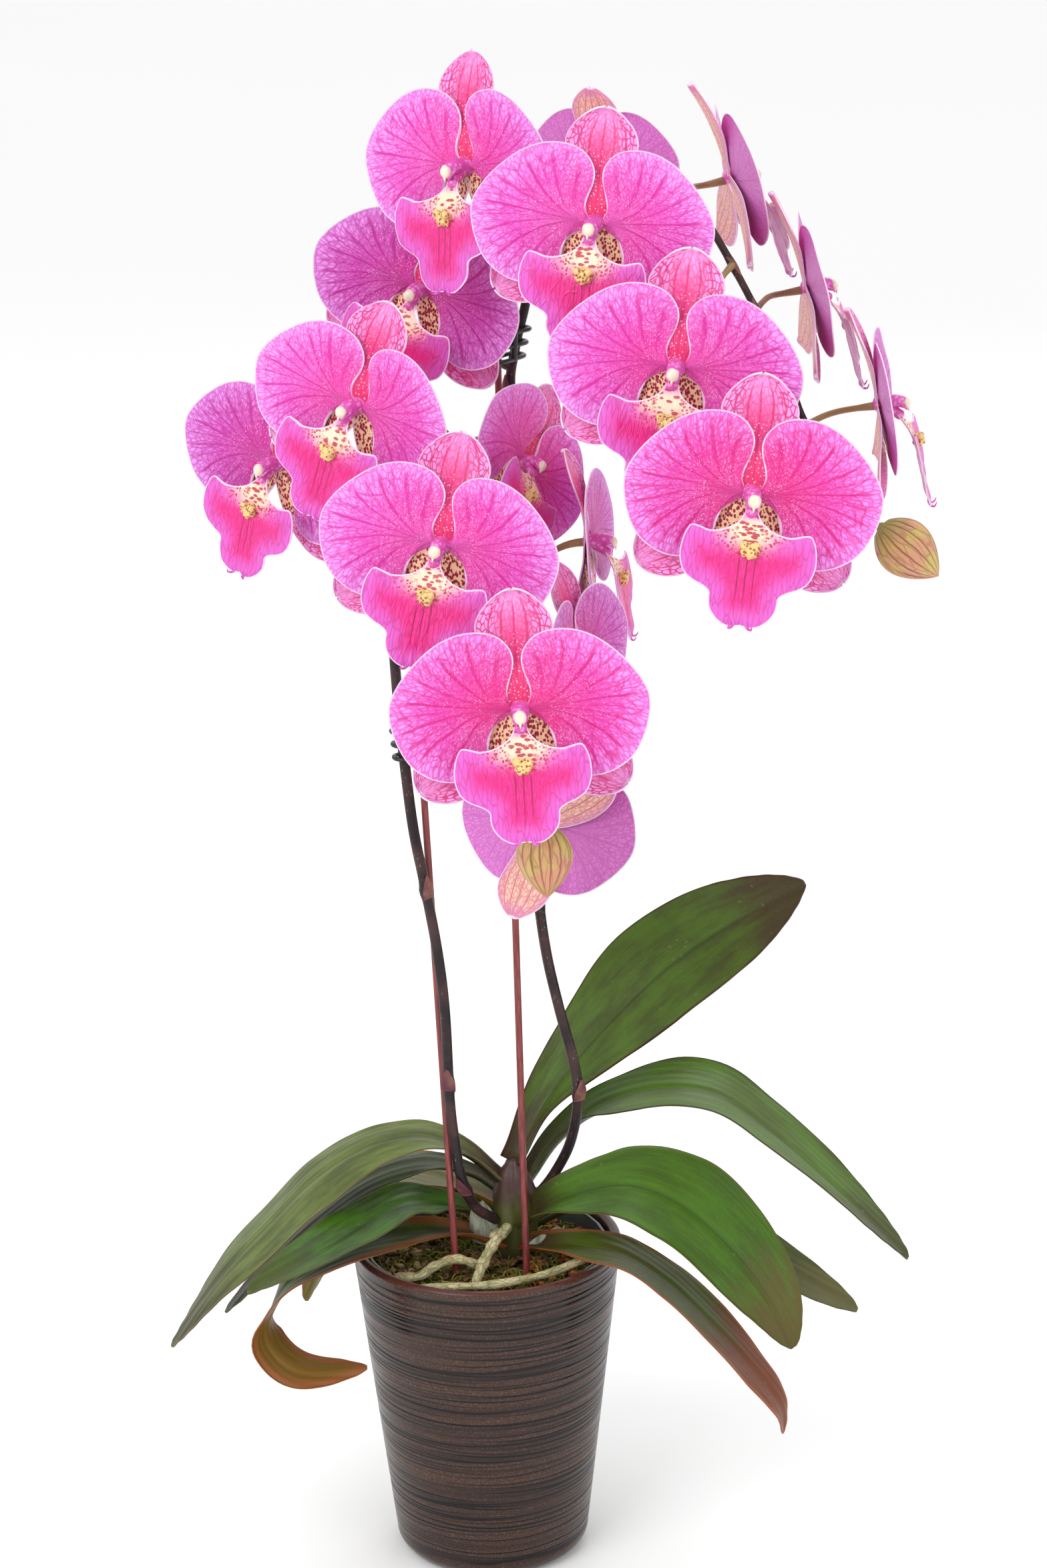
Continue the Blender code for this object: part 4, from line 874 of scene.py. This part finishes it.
# name: body, second tone, margin, tip, underside
LEAF_TONES = {
    "leaf_01": ((118, 136, 62), (84, 96, 40), (140, 128, 80), (78, 72, 42), (58, 62, 38)),
    "leaf_02": ((78, 98, 34), (58, 66, 36), (112, 110, 66), (70, 70, 34), (56, 60, 38)),
    "leaf_03": ((72, 120, 22), (54, 78, 26), (104, 108, 56), (84, 96, 30), (60, 78, 28)),
    "leaf_04": ((74, 100, 24), (66, 72, 26), (176, 104, 56), (190, 104, 48), (150, 112, 40)),
    "leaf_05": ((110, 112, 48), (122, 112, 52), (176, 100, 60), (180, 154, 34), (164, 144, 40)),
    "leaf_06": ((90, 126, 26), (76, 92, 28), (96, 56, 44), (84, 66, 36), (88, 100, 42)),
    "leaf_07": ((90, 132, 24), (84, 104, 32), (86, 78, 42), (80, 84, 34), (88, 96, 44)),
    "leaf_08": ((80, 128, 18), (70, 104, 20), (104, 100, 42), (110, 92, 38), (78, 92, 34)),
    "leaf_09": ((84, 104, 34), (68, 78, 34), (104, 98, 52), (122, 118, 66), (80, 84, 44)),
    "leaf_10": ((90, 112, 24), (98, 94, 30), (190, 104, 56), (142, 64, 34), (96, 90, 36)),
}
LEAF_DEPTH = 0.62
# share of the way along where a leaf turns to the colour of its tip
WITHERED, USUAL_WITHERED = {"leaf_04": 0.74, "leaf_10": 0.66}, 0.84
# width of a leaf's coloured margin
BROWNED, USUAL_BROWNED = {"leaf_04": 6.5, "leaf_10": 2.4}, 1.5


def leaf_width(share):
    """Half width of a leaf along its length, as a share of its widest half width."""
    widening = 0.28 + 0.72 * eased(share, 0.0, 0.55)
    closing = np.clip(1 - (np.clip(share - 0.50, 0, None) / 0.503) ** 2.2, 0.0, 1.0) ** 0.68
    return widening * closing


def leaf(midrib, width, base_side, tip_side, fold, seed):
    """A strap leaf: a channelled midrib, slightly wavy thin margins, thick in the middle."""
    fine = smooth_route(mm(midrib), 181)
    fine = np.vstack([fine[0] - unit(fine[1] - fine[0]) * 4 * MM, fine])
    rightward = 1 if fine[-1][0] > fine[0][0] else -1
    u = np.sin(np.linspace(0, 0.5, 110) * math.pi)[:, None]
    v = np.linspace(-1, 1, 37)

    def sampled(rows):
        spot = u[:, 0] * (len(rows) - 1)
        return np.stack([np.interp(spot, np.arange(len(rows)), column) for column in rows.T], axis=1)

    along = sampled(unit(np.gradient(fine, axis=0)))
    side = np.array(base_side) * (1 - u) + np.array(tip_side) * u
    side = unit(side - along * np.sum(side * along, axis=1, keepdims=True))
    upper = rightward * np.cross(along, side)
    half = width / 2 * leaf_width(u)
    lift = (np.abs(v) ** 1.5 * fold + 0.05 * ripple(v * 1.2, u * 9.0, seed) * v ** 2) * half
    lift = lift - 1.1 * bell(v * half, 2.2) * eased(u, 0.02, 0.2) * (1 - 0.4 * u)
    lift = lift + 0.12 * np.cos(v * half * 1.5) * eased(u, 0.05, 0.3)
    curl = 0.05 + 1.30 * (1 - eased(u, 0.0, 0.30))
    lift = lift + half * (1 - np.cos(v * curl)) / curl + 0.9
    aside = half * np.sin(v * curl) / curl
    shift = side[:, None] * aside[..., None] + upper[:, None] * lift[..., None]
    points = sampled(fine)[:, None] + shift * MM
    thickness = MM * (0.7 + 1.3 * (1 - np.abs(v) ** 3) * (1 - 0.6 * u))
    rim, fan = half * (1 - np.abs(v)), spread(v, u, seed)
    if rightward > 0:
        return blade(points, thickness, fan, rim)
    return blade(points[:, ::-1], thickness, fan[:, ::-1], rim[:, ::-1])


def leaf_material(name, body, second, margin, tip, under, withered, browned):
    s = Shader(name, 0.42, 0.28)
    place, fan = s.place, s.fan
    across, along = s.part(fan, 0), s.part(fan, 1)
    patches = s.noise(s.stretch(fan, 1.6, 4.0, 1.0), 1.5, 4.0, 0.6)
    streaks = s.noise(s.stretch(fan, 26.0, 2.2, 1.0), 1.4, 3.0)
    reach = s.add(along, s.times(patches, 0.25))
    edge = s.add(s.rim, s.times(s.noise(place, 500.0), 0.7))
    below = s.lay(under, (scaled(under, 0.7), s.ramp(streaks, 0.4, 0.7)))
    base = s.lay(body, (second, s.ramp(patches, 0.36, 0.66)),
                 (scaled(body, 1.5), s.ramp(streaks, 0.42, 0.72), 0.30),
                 (scaled(second, 0.42), s.ramp(s.math("ABSOLUTE", across), 0.07, 0.0), 0.55),
                 ((72, 44, 40), s.ramp(along, 0.20, 0.02), 0.8),
                 (tip, s.ramp(reach, withered, withered + 0.22), 0.9),
                 ((120, 128, 84), s.dots(s.warp(place, 200.0, 0.002), 150.0, 0.16, 0.05),
                  s.clouds(place, 30.0, 0.5, 0.62), 0.35),
                 ((170, 180, 120), s.dots(place, 1500.0, 0.30, 0.15), 0.10),
                 (below, s.back), (margin, s.ramp(edge, browned, browned * 0.35), 0.85))
    s.bump(s.add(s.times(s.noise(place, 900.0, 2.0), 0.35), s.times(streaks, 0.9)), 0.0004, 0.45)
    s.set("Roughness", s.add(0.28, s.times(patches, 0.18)))
    s.glow(0.03, 0.002, (0.4, 1.0, 0.15))
    return s.colour(base)


def make_leaves():
    for seed, (name, shape) in enumerate(LEAVES.items()):
        tones = [scaled(tint(*tone), LEAF_DEPTH) for tone in LEAF_TONES[name]]
        tissue = leaf_material(f"{name}_tissue", *tones, WITHERED.get(name, USUAL_WITHERED),
                               BROWNED.get(name, USUAL_BROWNED))
        build(f"strap_{name}", [leaf(*shape, seed * 1.9 + 0.5)], [tissue], name)


# ---------------------------------------------------------------- crown, roots and bark
# name: route, radius
ROOTS = {
    "root_01": (((-31, -43, 152.8), (-18, -46, 155.2), (4, -46, 156), (28, -40, 158), (44, -32, 160.6),
                 (56, -25, 162.8), (63, -21, 162.2)), 2.0),
    "root_02": (((10, -8.5, 168), (4, -19, 165.5), (-1, -30, 161), (-5, -38, 153.9)), 2.6),
    "root_03": (((-3, -25, 156), (-14, -26, 160.2), (-24, -30, 159), (-32, -33, 155), (-43, -30, 153.5)),
                2.3),
}
CROWN_CENTRE = (0.014, 0.002)
CROWN_HEIGHTS = mm((128, 155, 170, 184, 192, 197))
CROWN_RADII = mm((8.0, 10.2, 11.4, 10.6, 8.4, 4.6))
# dry sheaths: foot, lean, height, half width
SHEATHS = (((1.5, -4.0, 158), (-5, -6), 24, 8), ((26, -9, 158), (10, -5), 12, 6))
STUB = ((6, -10, 166), (4, -15, 167), (3.5, -18, 168.5))
STUB_RADII = (2.6, 2.6, 2.6, 2.6, 2.6, 2.6, 2.5, 2.3, 2.0, 1.5)
BARK_RADIUS = 0.0562
BARK_TOP = 0.1500
BARK_DOME = 0.003
BARK_UNDERSIDE = 0.100
# name: light and dark tone, in the order of their slots after the soil's
CHIPS = {
    "bark_chip_brown": ((122, 86, 52), (62, 44, 28)),
    "bark_chip_orange": ((186, 112, 58), (112, 62, 34)),
    "bark_crumb_pale": ((208, 182, 140), (150, 122, 82)),
    "moss_strand": ((150, 148, 58), (84, 92, 30)),
}
BROWN_SLOT, ORANGE_SLOT, PALE_SLOT, MOSS_SLOT = 1, 2, 3, 4


def bark_height(x, y):
    return BARK_TOP + BARK_DOME * (1 - (x * x + y * y) / BARK_RADIUS ** 2)


def root_material():
    s = Shader("velamen", 0.72, 0.3)
    creases = s.net(s.warp(s.stretch(s.fan, 1.0, 0.12, 1.0), 1.2, 0.3), 1.6, 1.8, 0.08)
    s.bump(s.less(s.noise(s.place, 700.0), creases), 0.0006, 0.7)
    return s.colour(s.lay((206, 196, 150), ((160, 158, 112), s.clouds(s.place, 90.0, 0.40, 0.62, 4.0)),
                          ((198, 152, 98), s.clouds(s.place, 55.0, 0.58, 0.70)),
                          ((110, 98, 60), creases, 0.45)))


def make_roots(velamen):
    for seed, (name, (route, radius)) in enumerate(ROOTS.items()):
        thick = radius * (1 + 0.14 * ripple(np.linspace(0, 9, 90), 0, seed))
        thick = thick * np.interp(np.linspace(0, 1, 90), (0, 0.93, 1), (1, 1, 0.72))
        root = tube(smooth_route(mm(route), 90), thick * MM, 24, 0, seed,
                    lambda turn, share: 0.07 * np.sin(2 * turn + 21 * share + seed))
        build(f"aerial_{name}", [root], [velamen], name)


def crown_material():
    s = Shader("crown_skin", 0.45)
    height = s.part(s.place, 2)
    blush = s.add(s.noise(s.place, 60.0, 4.0), s.times(s.ramp(height, 0.172, 0.190), 0.45))
    s.bump(s.noise(s.stretch(s.place, 1.0, 1.0, 0.2), 400.0), 0.0006, 0.6)
    return s.colour(s.lay((78, 80, 36), ((66, 38, 32), s.ramp(blush, 0.52, 0.82)),
                          ((54, 48, 34), s.ramp(height, 0.160, 0.150))))


def sheath_material():
    s = Shader("dry_sheath", 0.7)
    veins = s.noise(s.stretch(s.place, 1.0, 1.0, 0.15), 500.0)
    s.bump(veins, 0.0004, 0.6)
    return s.colour(s.lay((178, 182, 164), ((110, 116, 92), s.ramp(veins, 0.4, 0.7))))


def make_crown(velamen):
    heights = np.linspace(CROWN_HEIGHTS[0], CROWN_HEIGHTS[-1], 30)
    parts = [tube(spread(*CROWN_CENTRE, heights), np.interp(heights, CROWN_HEIGHTS, CROWN_RADII), 48, 0, 0,
                  lambda turn, share: -0.20 * np.abs(np.sin(1.5 * turn + 2.5 * share)) ** 5)]
    u = np.linspace(0, 1, 26)[:, None]
    v = np.linspace(-1, 1, 21)
    for foot, lean, tall, wide in SHEATHS:
        x = foot[0] + lean[0] * u + wide * (1 - 0.75 * u ** 2.2) * v
        y = foot[1] + lean[1] * u + 2.6 * v ** 2 + 0.8 * np.sin(5 * v + 4 * u)
        points = spread(x, y, foot[2] + tall * u) * MM
        parts.append(blade(points, 0.4 * MM, spread(v, u, 0), np.ones_like(u * v), 1))
    parts.append(tube(smooth_route(mm(STUB), 10), mm(STUB_RADII), 20, 2, 4))
    build("crown_sheaths", parts, [crown_material(), sheath_material(), velamen], "crown_stem")


def soil_material():
    s = Shader("bark_and_moss", 0.88, 0.25)
    s.bump(s.noise(s.place, 420.0, 4.0), 0.0012, 0.9)
    return s.colour(s.lay((44, 42, 22), ((96, 92, 36), s.clouds(s.place, 130.0, 0.38, 0.58, 5.0, 0.65)),
                          ((110, 76, 40), s.clouds(s.place, 60.0, 0.55, 0.68))))


def chip_material(name, light, dark):
    s = Shader(name, 0.85, 0.25)
    grain = s.noise(s.stretch(s.place, 1.0, 2.4, 1.0), 420.0, 4.0)
    s.bump(grain, 0.0006, 0.8)
    return s.colour(s.lay(dark, (light, s.ramp(grain, 0.35, 0.66))))


def bark_spot(rng, share):
    """A spot on the bark, anywhere within the inner share of its area."""
    distance = BARK_RADIUS * math.sqrt(rng.uniform(0.0, share))
    angle = rng.uniform(0, FULL_TURN)
    x, y = distance * math.cos(angle), distance * math.sin(angle)
    return np.array([x, y, bark_height(x, y)])


def make_bark():
    rng = np.random.default_rng(5)
    radius = np.linspace(0.0005, BARK_RADIUS, 60)[:, None]
    turn = np.linspace(0, FULL_TURN, 160, endpoint=False)
    x, y = radius * np.cos(turn), radius * np.sin(turn)
    rough = [noise.fractal(Vector((a * 90, b * 90, 0)), 0.7, 2.1, 4) for a, b in zip(x.ravel(), y.ravel())]
    top = spread(x, y, bark_height(x, y) - 2.2 * MM + np.reshape(rough, x.shape) * 1.6 * MM)
    low = spread(x[-1] * 0.88, y[-1] * 0.88, BARK_UNDERSIDE)[None]
    shell = np.concatenate([top, low, low * (0.01, 0.01, 1.0)])
    parts = [piece(shell, grid_faces(len(shell), len(turn), wrap=True), shell * 100)]
    for number in range(330):
        spot = bark_spot(rng, 0.90)
        spot[2] += rng.uniform(-1.9, -0.2) * MM
        left, right = spot[0] < -0.028, spot[0] > 0.02
        kind = (PALE_SLOT if left and rng.random() < 0.5
                else ORANGE_SLOT if right and rng.random() < 0.6 else BROWN_SLOT)
        size = mm([rng.uniform(1.8, 4.6), rng.uniform(1.2, 2.8), rng.uniform(0.7, 1.5)])
        tilt = Matrix.Rotation(rng.uniform(0, 6.3), 4, "Z") @ Matrix.Rotation(rng.normal(0, 0.35), 4, "X")
        parts.append(lump(spot, size, kind, 0.55, 1.7, number * 3.1, 9, 12, tilt))
    for number in range(620):
        foot = bark_spot(rng, 0.93) - (0, 0, 1.6 * MM)
        heading = rng.uniform(0, FULL_TURN)
        reach = rng.uniform(2.0, 6.0) * MM
        ahead = np.array([math.cos(heading), math.sin(heading), 0]) * reach
        aside = np.array([-ahead[1], ahead[0], 0]) * rng.uniform(-0.5, 0.5)
        arch = np.array([0, 0, rng.uniform(1.2, 3.2) * MM])
        strand = smooth_route((foot, foot + ahead * 0.4 + arch, foot + ahead + aside * 0.5 + arch * 0.7,
                               foot + ahead * 1.3 + aside - arch * 0.2), 7)
        if np.hypot(*strand[:, :2].T).max() < BARK_RADIUS:
            parts.append(tube(strand, rng.uniform(0.18, 0.42) * MM, 5, MOSS_SLOT, number))
    materials = [soil_material(), *(chip_material(name, *tones) for name, tones in CHIPS.items())]
    build("bark_surface", parts, materials, "potting_medium")


# ---------------------------------------------------------------- pot
POT_HEIGHT = 0.160
POT_TOP_RADIUS = 0.065
POT_FOOT_RADIUS = 0.046
POT_WALL = 0.005
POT_FLOOR = 0.010
POT_FOOT_ROUNDING = 0.009
POT_RIM_HEIGHT = 0.002
POT_COLUMNS, POT_ROWS = 168, 520
GROOVE_DEPTH = 0.00048
CENTRE_HOLE = 0.00001


def pot_radius(height):
    return POT_FOOT_RADIUS + (POT_TOP_RADIUS - POT_FOOT_RADIUS) * (height / POT_HEIGHT)


def pot_parts():
    """The pot: a turned body whose outside carries many shallow, slightly wandering grooves."""
    rng = np.random.default_rng(11)
    turn = np.linspace(0, FULL_TURN, POT_COLUMNS, endpoint=False)
    shoulder = POT_HEIGHT - POT_RIM_HEIGHT
    tall = np.linspace(POT_FOOT_ROUNDING, shoulder, POT_ROWS)
    foot = pot_radius(POT_FOOT_ROUNDING)
    rings = [(CENTRE_HOLE, 0.0), (foot * 0.5, 0.0)]
    for angle in np.linspace(0, math.pi / 2, 9)[:-1]:
        rings.append((foot - POT_FOOT_ROUNDING * (1 - math.sin(angle)),
                      POT_FOOT_ROUNDING * (1 - math.cos(angle))))
    start = len(rings)
    rings += list(zip(pot_radius(tall), tall))
    stop = len(rings)
    rim_middle = pot_radius(shoulder) - POT_WALL / 2
    for angle in np.linspace(0.1, math.pi - 0.1, 11):
        rings.append((rim_middle + POT_WALL / 2 * math.cos(angle),
                      shoulder + POT_RIM_HEIGHT * math.sin(angle)))
    for height in np.linspace(POT_HEIGHT - 4 * MM, POT_FLOOR + 2 * MM, 14):
        rings.append((pot_radius(height) - POT_WALL, height))
    rings += [(POT_FOOT_RADIUS - POT_WALL - 4 * MM, POT_FLOOR), (CENTRE_HOLE, POT_FLOOR)]
    radial, height = (np.repeat(column[:, None], POT_COLUMNS, axis=1) for column in np.array(rings).T)
    carve = np.zeros_like(radial)
    level = 4.0 * MM
    while level < POT_HEIGHT - 3.5 * MM:
        wander = (0.55 * np.sin(turn * rng.integers(1, 3) + rng.uniform(0, 6))
                  + 0.25 * np.sin(turn * rng.integers(3, 7) + rng.uniform(0, 6))) * MM
        width = rng.uniform(0.30, 0.70) * MM
        fades = 0.65 + 0.35 * np.sin(turn * rng.integers(1, 4) + rng.uniform(0, 6))
        carve += rng.uniform(0.5, 1.0) * fades * bell(height - level - wander, width)
        level += rng.uniform(1.3, 2.9) * MM
    carve = np.clip(carve, 0, 1.2)
    carve[:start] = carve[stop:] = 0
    radial = radial - GROOVE_DEPTH * carve
    fan = spread(np.cos(turn) * 65, np.sin(turn) * 65, height / MM)
    return [piece(spread(radial * np.cos(turn), radial * np.sin(turn), height),
                  grid_faces(len(rings), POT_COLUMNS, wrap=True, flip=True), fan, carve)]


def glaze_material():
    s = Shader("pot_glaze", 0.24, 0.24)
    place = s.place
    bands = s.noise(s.stretch(s.warp(place, 14.0, 0.006), 1.5, 1.5, 150.0), 1.0, 3.0)
    specks = s.noise(place, 1300.0, 2.0)
    s.set("Coat Weight", 0.1)
    s.set("Coat Roughness", 0.08)
    s.set("Roughness", s.add(0.16, s.times(s.noise(place, 90.0), 0.22)))
    s.bump(s.add(bands, s.times(specks, 0.25)), 0.0003, 0.5)
    return s.colour(s.lay((42, 29, 25), ((62, 43, 36), s.ramp(bands, 0.40, 0.60)),
                          ((112, 80, 66), s.ramp(specks, 0.50, 0.66), s.ramp(bands, 0.35, 0.6), 0.6),
                          ((9, 7, 8), s.ramp(s.rim, 0.12, 0.50), 0.95),
                          ((92, 46, 38), s.ramp(s.part(place, 2), 0.1586, 0.1594), 0.7)))


def liner_material():
    s = Shader("grow_pot_plastic", 0.3)
    s.bump(s.noise(s.place, 200.0), 0.0003, 0.4)
    return s.colour(s.lay((50, 54, 56), ((92, 98, 98), s.noise(s.place, 60.0, 3.0))))


def make_pot():
    build("ribbed_pot", pot_parts(), [glaze_material()], "pot")
    tone = liner_material()
    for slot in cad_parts["grow_pot"].material_slots:
        slot.material = tone


# ---------------------------------------------------------------- floor, light and camera
FLOOR_HALF = 12
FLOOR_DROP = -0.0002
# name: place, size, power
LAMPS = {"key": ((-1.1, -1.5, 1.9), 1.3, 22), "fill": ((1.5, -1.2, 1.1), 1.2, 5),
         "back": ((0.5, 1.6, 1.7), 1.2, 8)}
LAMP_TARGET = (0.02, 0, 0.38)
CAMERA_PLACE = (0.022, -1.8, 0.978)
CAMERA_PITCH, CAMERA_ROLL = math.radians(18.12), math.radians(-1.10)
SENSOR_HEIGHT, LENS = 24, 62.4


def added(name, data):
    made = bpy.data.objects.new(name, data)
    bpy.context.scene.collection.objects.link(made)
    return made


def make_studio():
    mesh = bpy.data.meshes.new("floor")
    corners = [(x * FLOOR_HALF, y * FLOOR_HALF, FLOOR_DROP) for x, y in ((-1, -1), (1, -1), (1, 1), (-1, 1))]
    mesh.from_pydata(corners, [], [(0, 1, 2, 3)])
    s = Shader("pale_floor", 0.75, 0.2)
    tone = s.lay((0.93, 0.93, 0.93), ((0.96, 0.96, 0.96), s.noise(s.place, 0.8, 2.0)))
    mesh.materials.append(s.colour(tone))
    added("floor", mesh)
    world = bpy.data.worlds.new("studio")
    world.use_nodes = True
    world.node_tree.nodes["Background"].inputs["Color"].default_value = (1, 1, 1, 1)
    world.node_tree.nodes["Background"].inputs["Strength"].default_value = 1.0
    bpy.context.scene.world = world
    for name, (place, size, power) in LAMPS.items():
        lamp = bpy.data.lights.new(name, "AREA")
        lamp.size = size
        lamp.energy = power
        made = added(name, lamp)
        made.location = place
        made.rotation_euler = (Vector(LAMP_TARGET) - Vector(place)).to_track_quat("-Z", "Y").to_euler()
    bpy.context.scene.view_settings.view_transform = "Standard"


def make_camera():
    forward = Vector((0, math.cos(CAMERA_PITCH), -math.sin(CAMERA_PITCH)))
    level = Vector((1, 0, 0))
    above = level.cross(forward)
    right = level * math.cos(CAMERA_ROLL) + above * math.sin(CAMERA_ROLL)
    up = above * math.cos(CAMERA_ROLL) - level * math.sin(CAMERA_ROLL)
    lens = bpy.data.cameras.new("camera")
    lens.sensor_fit = "VERTICAL"
    lens.sensor_height = SENSOR_HEIGHT
    lens.lens = LENS
    made = added("camera", lens)
    made.matrix_world = Matrix.Translation(CAMERA_PLACE) @ Matrix((right, up, -forward)).transposed().to_4x4()
    bpy.context.scene.camera = made


make_camera()
make_studio()
make_flowers()
make_stems()
make_leaves()
velamen = root_material()
make_roots(velamen)
make_crown(velamen)
make_bark()
make_pot()
